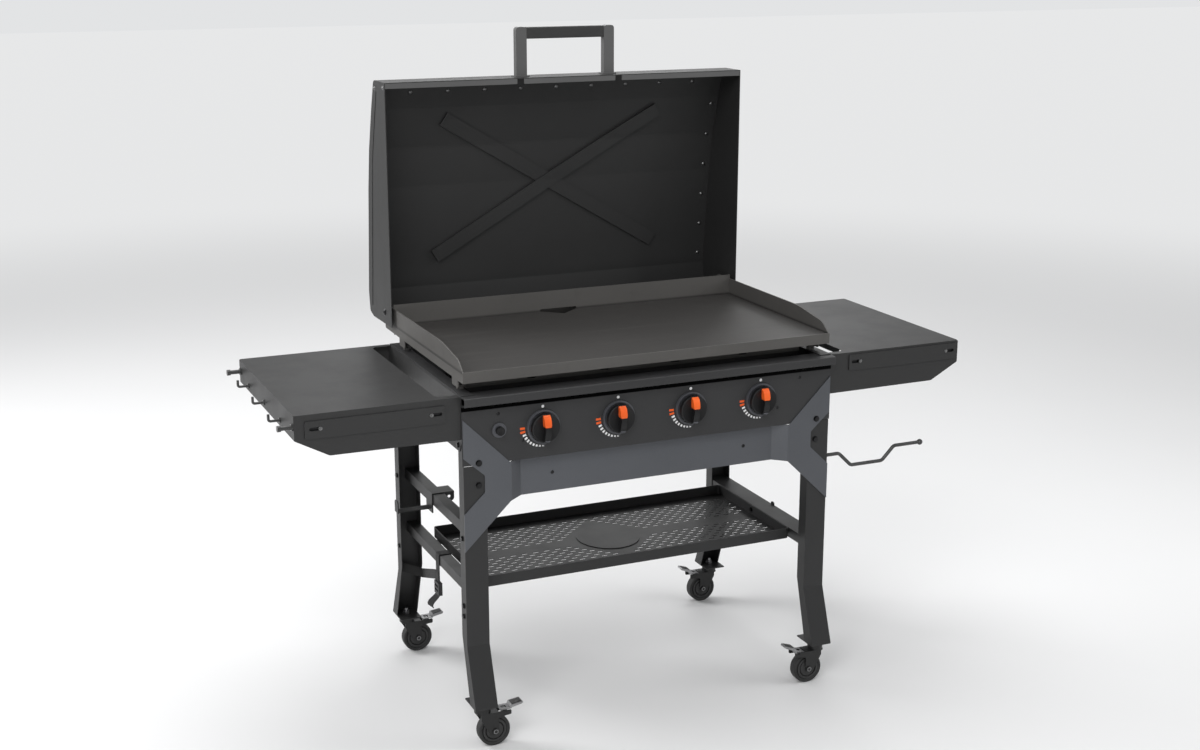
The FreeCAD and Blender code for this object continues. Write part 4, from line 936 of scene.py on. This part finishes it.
class GRIDDLE_OT_strap(bpy.types.Operator):
    """Lays the tank strap's webbing along its band, its hanging run and its run to the leg"""

    bl_idname = "griddle.strap"
    bl_label = "Lay the tank strap"

    def ribbon(self, name, path, across, made):
        # a flat strap: points along its middle, and the direction of its width at each
        clear()
        mesh = bpy.data.meshes.new(name)
        piece = bpy.data.objects.new(name, mesh)
        bpy.context.collection.objects.link(piece)
        bpy.context.view_layer.objects.active = piece
        piece.select_set(True)
        shape = bmesh.new()
        layer = shape.loops.layers.uv.new("UVMap")
        shares = (0, 0.05, 0.5, 0.95, 1)
        rows = []
        run = 0.0
        for k, point in enumerate(path):
            if k:
                run += (Vector(point) - Vector(path[k - 1])).length
            side = Vector(across[k]).normalized() * STRAP_WIDE / 2
            verts = [shape.verts.new(Vector(point) + side * s) for s in (-1, -0.9, 0, 0.9, 1)]
            rows.append((verts, run))
        for (one, start), (two, end) in zip(rows, rows[1:]):
            for j in range(4):
                face = shape.faces.new((one[j], one[j + 1], two[j + 1], two[j]))
                left, right = shares[j:j + 2]
                marks = ((start, left), (start, right), (end, right), (end, left))
                for corner, (u, v) in zip(face.loops, marks):
                    corner[layer].uv = (u, v * STRAP_WIDE)
        shape.to_mesh(mesh)
        shape.free()
        modify(piece, "SOLIDIFY", thickness=STRAP_THICK, offset=0)
        soften(piece, 0.0004, 2, 0.9)
        smooth(40)
        name_piece(name, "stand", made["web"], "tank_strap")

    def corner(self, points, radius, steps=5):
        # rounds every inner corner of a path of points with a short curve
        out = []
        for k, here in enumerate(points):
            if k in (0, len(points) - 1):
                out.append(Vector(here))
                continue
            here = Vector(here)
            back = (Vector(points[k - 1]) - here).normalized()
            ahead = (Vector(points[k + 1]) - here).normalized()
            for step in range(steps + 1):
                t = step / steps
                a = here + back * radius * (1 - t) ** 2 + ahead * radius * t ** 2
                out.append(a)
        return out

    def execute(self, context):
        made = finishes(context.scene.griddle_look)
        low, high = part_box("rail_left_lower")
        y = STRAP_Y
        x0 = low.x - STRAP_OFF
        x1 = high.x + STRAP_OFF
        z0 = low.z - STRAP_OFF
        z1 = high.z + STRAP_OFF
        loop = [(x0, y, STRAP_LOW), (x0, y, z1), (x1, y, z1), (x1, y, z0), (x0 + 0.002, y, z0)]
        path = self.corner(loop, 0.003)
        self.ribbon("strap_band", path, [(0, 1, 0)] * len(path), made)
        tail = []
        turns = []
        for k in range(17):
            t = k / 16
            # straight through the buckle, then it curls out and back under
            curl = max(0.0, t - 0.3) / 0.7
            out = 0.0004 + 0.02 * math.sin(curl * 1.9) ** 2
            tail.append((x0 - out, y + 0.004 * curl, TAIL_TOP - t * 0.05))
            turns.append((-0.3 * curl, 1, 0.1 * curl))
        self.ribbon("strap_tail", tail, turns, made)
        leg_low, leg_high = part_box("leg_rear_left")
        # from inside the leg's channel, over the edge of its inner flange, to the hanging run
        plan = (
            (leg_low.x + 0.0032, LEG_FLANGE_Y + 0.02), (leg_high.x - 0.001, LEG_FLANGE_Y),
            (x0 - 0.0022, y + 0.015), (x0 - 0.0022, y - 0.0125))
        corners = [(*place, z) for place, z in zip(plan, LEG_RUN_Z)]
        path = []
        for start, end in zip(corners, corners[1:]):
            for k in range(8):
                path.append(Vector(start).lerp(Vector(end), k / 8))
        path.append(Vector(corners[-1]))
        self.ribbon("strap_leg_run", path, [(0, 0, 1)] * len(path), made)
        return {"FINISHED"}


class GRIDDLE_OT_stage(bpy.types.Operator):
    """Sets the floor, the lights and the camera"""

    bl_idname = "griddle.stage"
    bl_label = "Set the stage"

    def floor(self):
        clear()
        bpy.ops.mesh.primitive_plane_add(size=60)
        floor = bpy.context.object
        floor.name = "studio_floor"
        # pale to the eye and in reflections, but it throws little light back up
        paint = Paint("Pale studio floor")
        haze = paint.noise(0.7, 3.0)
        pale = paint.blend(haze, (0.76, 0.76, 0.765), (0.8, 0.8, 0.8))
        path = paint.tree.nodes.new("ShaderNodeLightPath")
        eye = Sock(paint, path.outputs["Is Camera Ray"])
        seen = eye
        for ray in ("Is Glossy Ray", "Is Transmission Ray"):
            seen = seen.most(Sock(paint, path.outputs[ray]))
        # far from the station the floor runs into the backdrop without an edge
        x, y = paint.axes()[:2]
        far = ((x * x + y * y) ** 0.5).ramp(2.2, 8.0) * eye
        base = paint.blend(far, paint.blend(seen, (0.4, 0.4, 0.4), pale), (0.0, 0.0, 0.0))
        glow = paint.blend(far, (0.0, 0.0, 0.0), (0.77, 0.775, 0.78))
        paint.set(Base_Color=base, Roughness=0.9, Emission_Color=glow, Emission_Strength=1.0)
        floor.data.materials.append(paint.material)

    def lamp(self, name, place, aim, size, power, colour=(1, 1, 1)):
        light = bpy.data.lights.new(name, "AREA")
        light.energy = power
        light.color = colour
        light.shape = "RECTANGLE"
        light.size = size[0]
        light.size_y = size[1]
        lamp = bpy.data.objects.new(name, light)
        bpy.context.collection.objects.link(lamp)
        lamp.location = place
        lamp.rotation_euler = (Vector(aim) - Vector(place)).to_track_quat("-Z", "Y").to_euler()

    def execute(self, context):
        scene = context.scene
        self.floor()
        world = bpy.data.worlds.new("Soft studio")
        scene.world = world
        world.use_nodes = True
        tree = world.node_tree
        sky = tree.nodes["Background"]
        sky.inputs[0].default_value = (0.86, 0.87, 0.88, 1)
        path = tree.nodes.new("ShaderNodeLightPath")
        level = tree.nodes.new("ShaderNodeMath")
        level.operation = "MULTIPLY_ADD"
        level.inputs[1].default_value = SKY_SHOWN - SKY_LIGHT
        level.inputs[2].default_value = SKY_LIGHT
        tree.links.new(path.outputs["Is Camera Ray"], level.inputs[0])
        tree.links.new(level.outputs[0], sky.inputs[1])
        self.lamp("key_softbox", (-2.6, -3.4, 4.2), (0, 0, 0.8), (2.6, 2.6), 120)
        self.lamp("side_softbox", (3.6, -1.8, 2.6), (0, 0, 0.8), (2.0, 2.4), 40)
        self.lamp("top_softbox", (0.2, 0.6, 4.6), (0, 0, 0.8), (3.2, 3.2), 100)
        self.lamp("back_left_softbox", (-3.4, 2.8, 2.9), (0, 0, 1.2), (2.2, 2.4), 130)
        self.lamp("back_right_softbox", (1.9, 4.2, 3.1), (0, 0, 0.8), (3.0, 1.8), 34)
        self.lamp("low_softbox", (-2.4, -4.2, 0.7), (-0.4, 0, 0.3), (2.0, 1.0), 22)
        camera = bpy.data.cameras.new("photo_view")
        camera.lens = 50.0
        camera.sensor_width = 36.0
        camera.sensor_fit = "HORIZONTAL"
        camera.clip_end = 100
        eye = bpy.data.objects.new("photo_view", camera)
        bpy.context.collection.objects.link(eye)
        eye.location = (-1.6297, -3.6396, 1.8371)
        eye.rotation_euler = (math.radians(90 - 14.879), 0, math.radians(-23.851))
        scene.camera = eye
        scene.view_settings.view_transform = "Standard"
        return {"FINISHED"}


class GRIDDLE_PT_panel(bpy.types.Panel):
    """Lists the station's pieces in the sidebar"""

    bl_label = "Gas griddle station"
    bl_space_type = "VIEW_3D"
    bl_region_type = "UI"
    bl_category = "Griddle"

    def draw(self, context):
        column = self.layout.column()
        for group in (context.scene.griddle_look, context.scene.griddle_sizes):
            for key in group.__annotations__:
                column.prop(group, key)
        for operator in OPERATORS:
            column.operator(operator.bl_idname)


OPERATORS = (
    GRIDDLE_OT_stage, GRIDDLE_OT_finishes, GRIDDLE_OT_brow, GRIDDLE_OT_slot_screws,
    GRIDDLE_OT_knobs, GRIDDLE_OT_dial_marks, GRIDDLE_OT_wheels, GRIDDLE_OT_pedal_pads,
    GRIDDLE_OT_grip, GRIDDLE_OT_strap)
CLASSES = (GriddleLook, GriddleSizes) + OPERATORS + (GRIDDLE_PT_panel,)


def register():
    for item in CLASSES:
        bpy.utils.register_class(item)
    bpy.types.Scene.griddle_look = bpy.props.PointerProperty(type=GriddleLook)
    bpy.types.Scene.griddle_sizes = bpy.props.PointerProperty(type=GriddleSizes)


def unregister():
    del bpy.types.Scene.griddle_sizes
    del bpy.types.Scene.griddle_look
    for item in reversed(CLASSES):
        bpy.utils.unregister_class(item)


def main():
    register()
    bpy.ops.griddle.stage()
    bpy.ops.griddle.finishes()
    bpy.ops.griddle.brow()
    bpy.ops.griddle.slot_screws()
    bpy.ops.griddle.knobs()
    bpy.ops.griddle.dial_marks()
    bpy.ops.griddle.wheels()
    bpy.ops.griddle.pedal_pads()
    bpy.ops.griddle.grip()
    bpy.ops.griddle.strap()


if __name__ == "__main__":
    main()
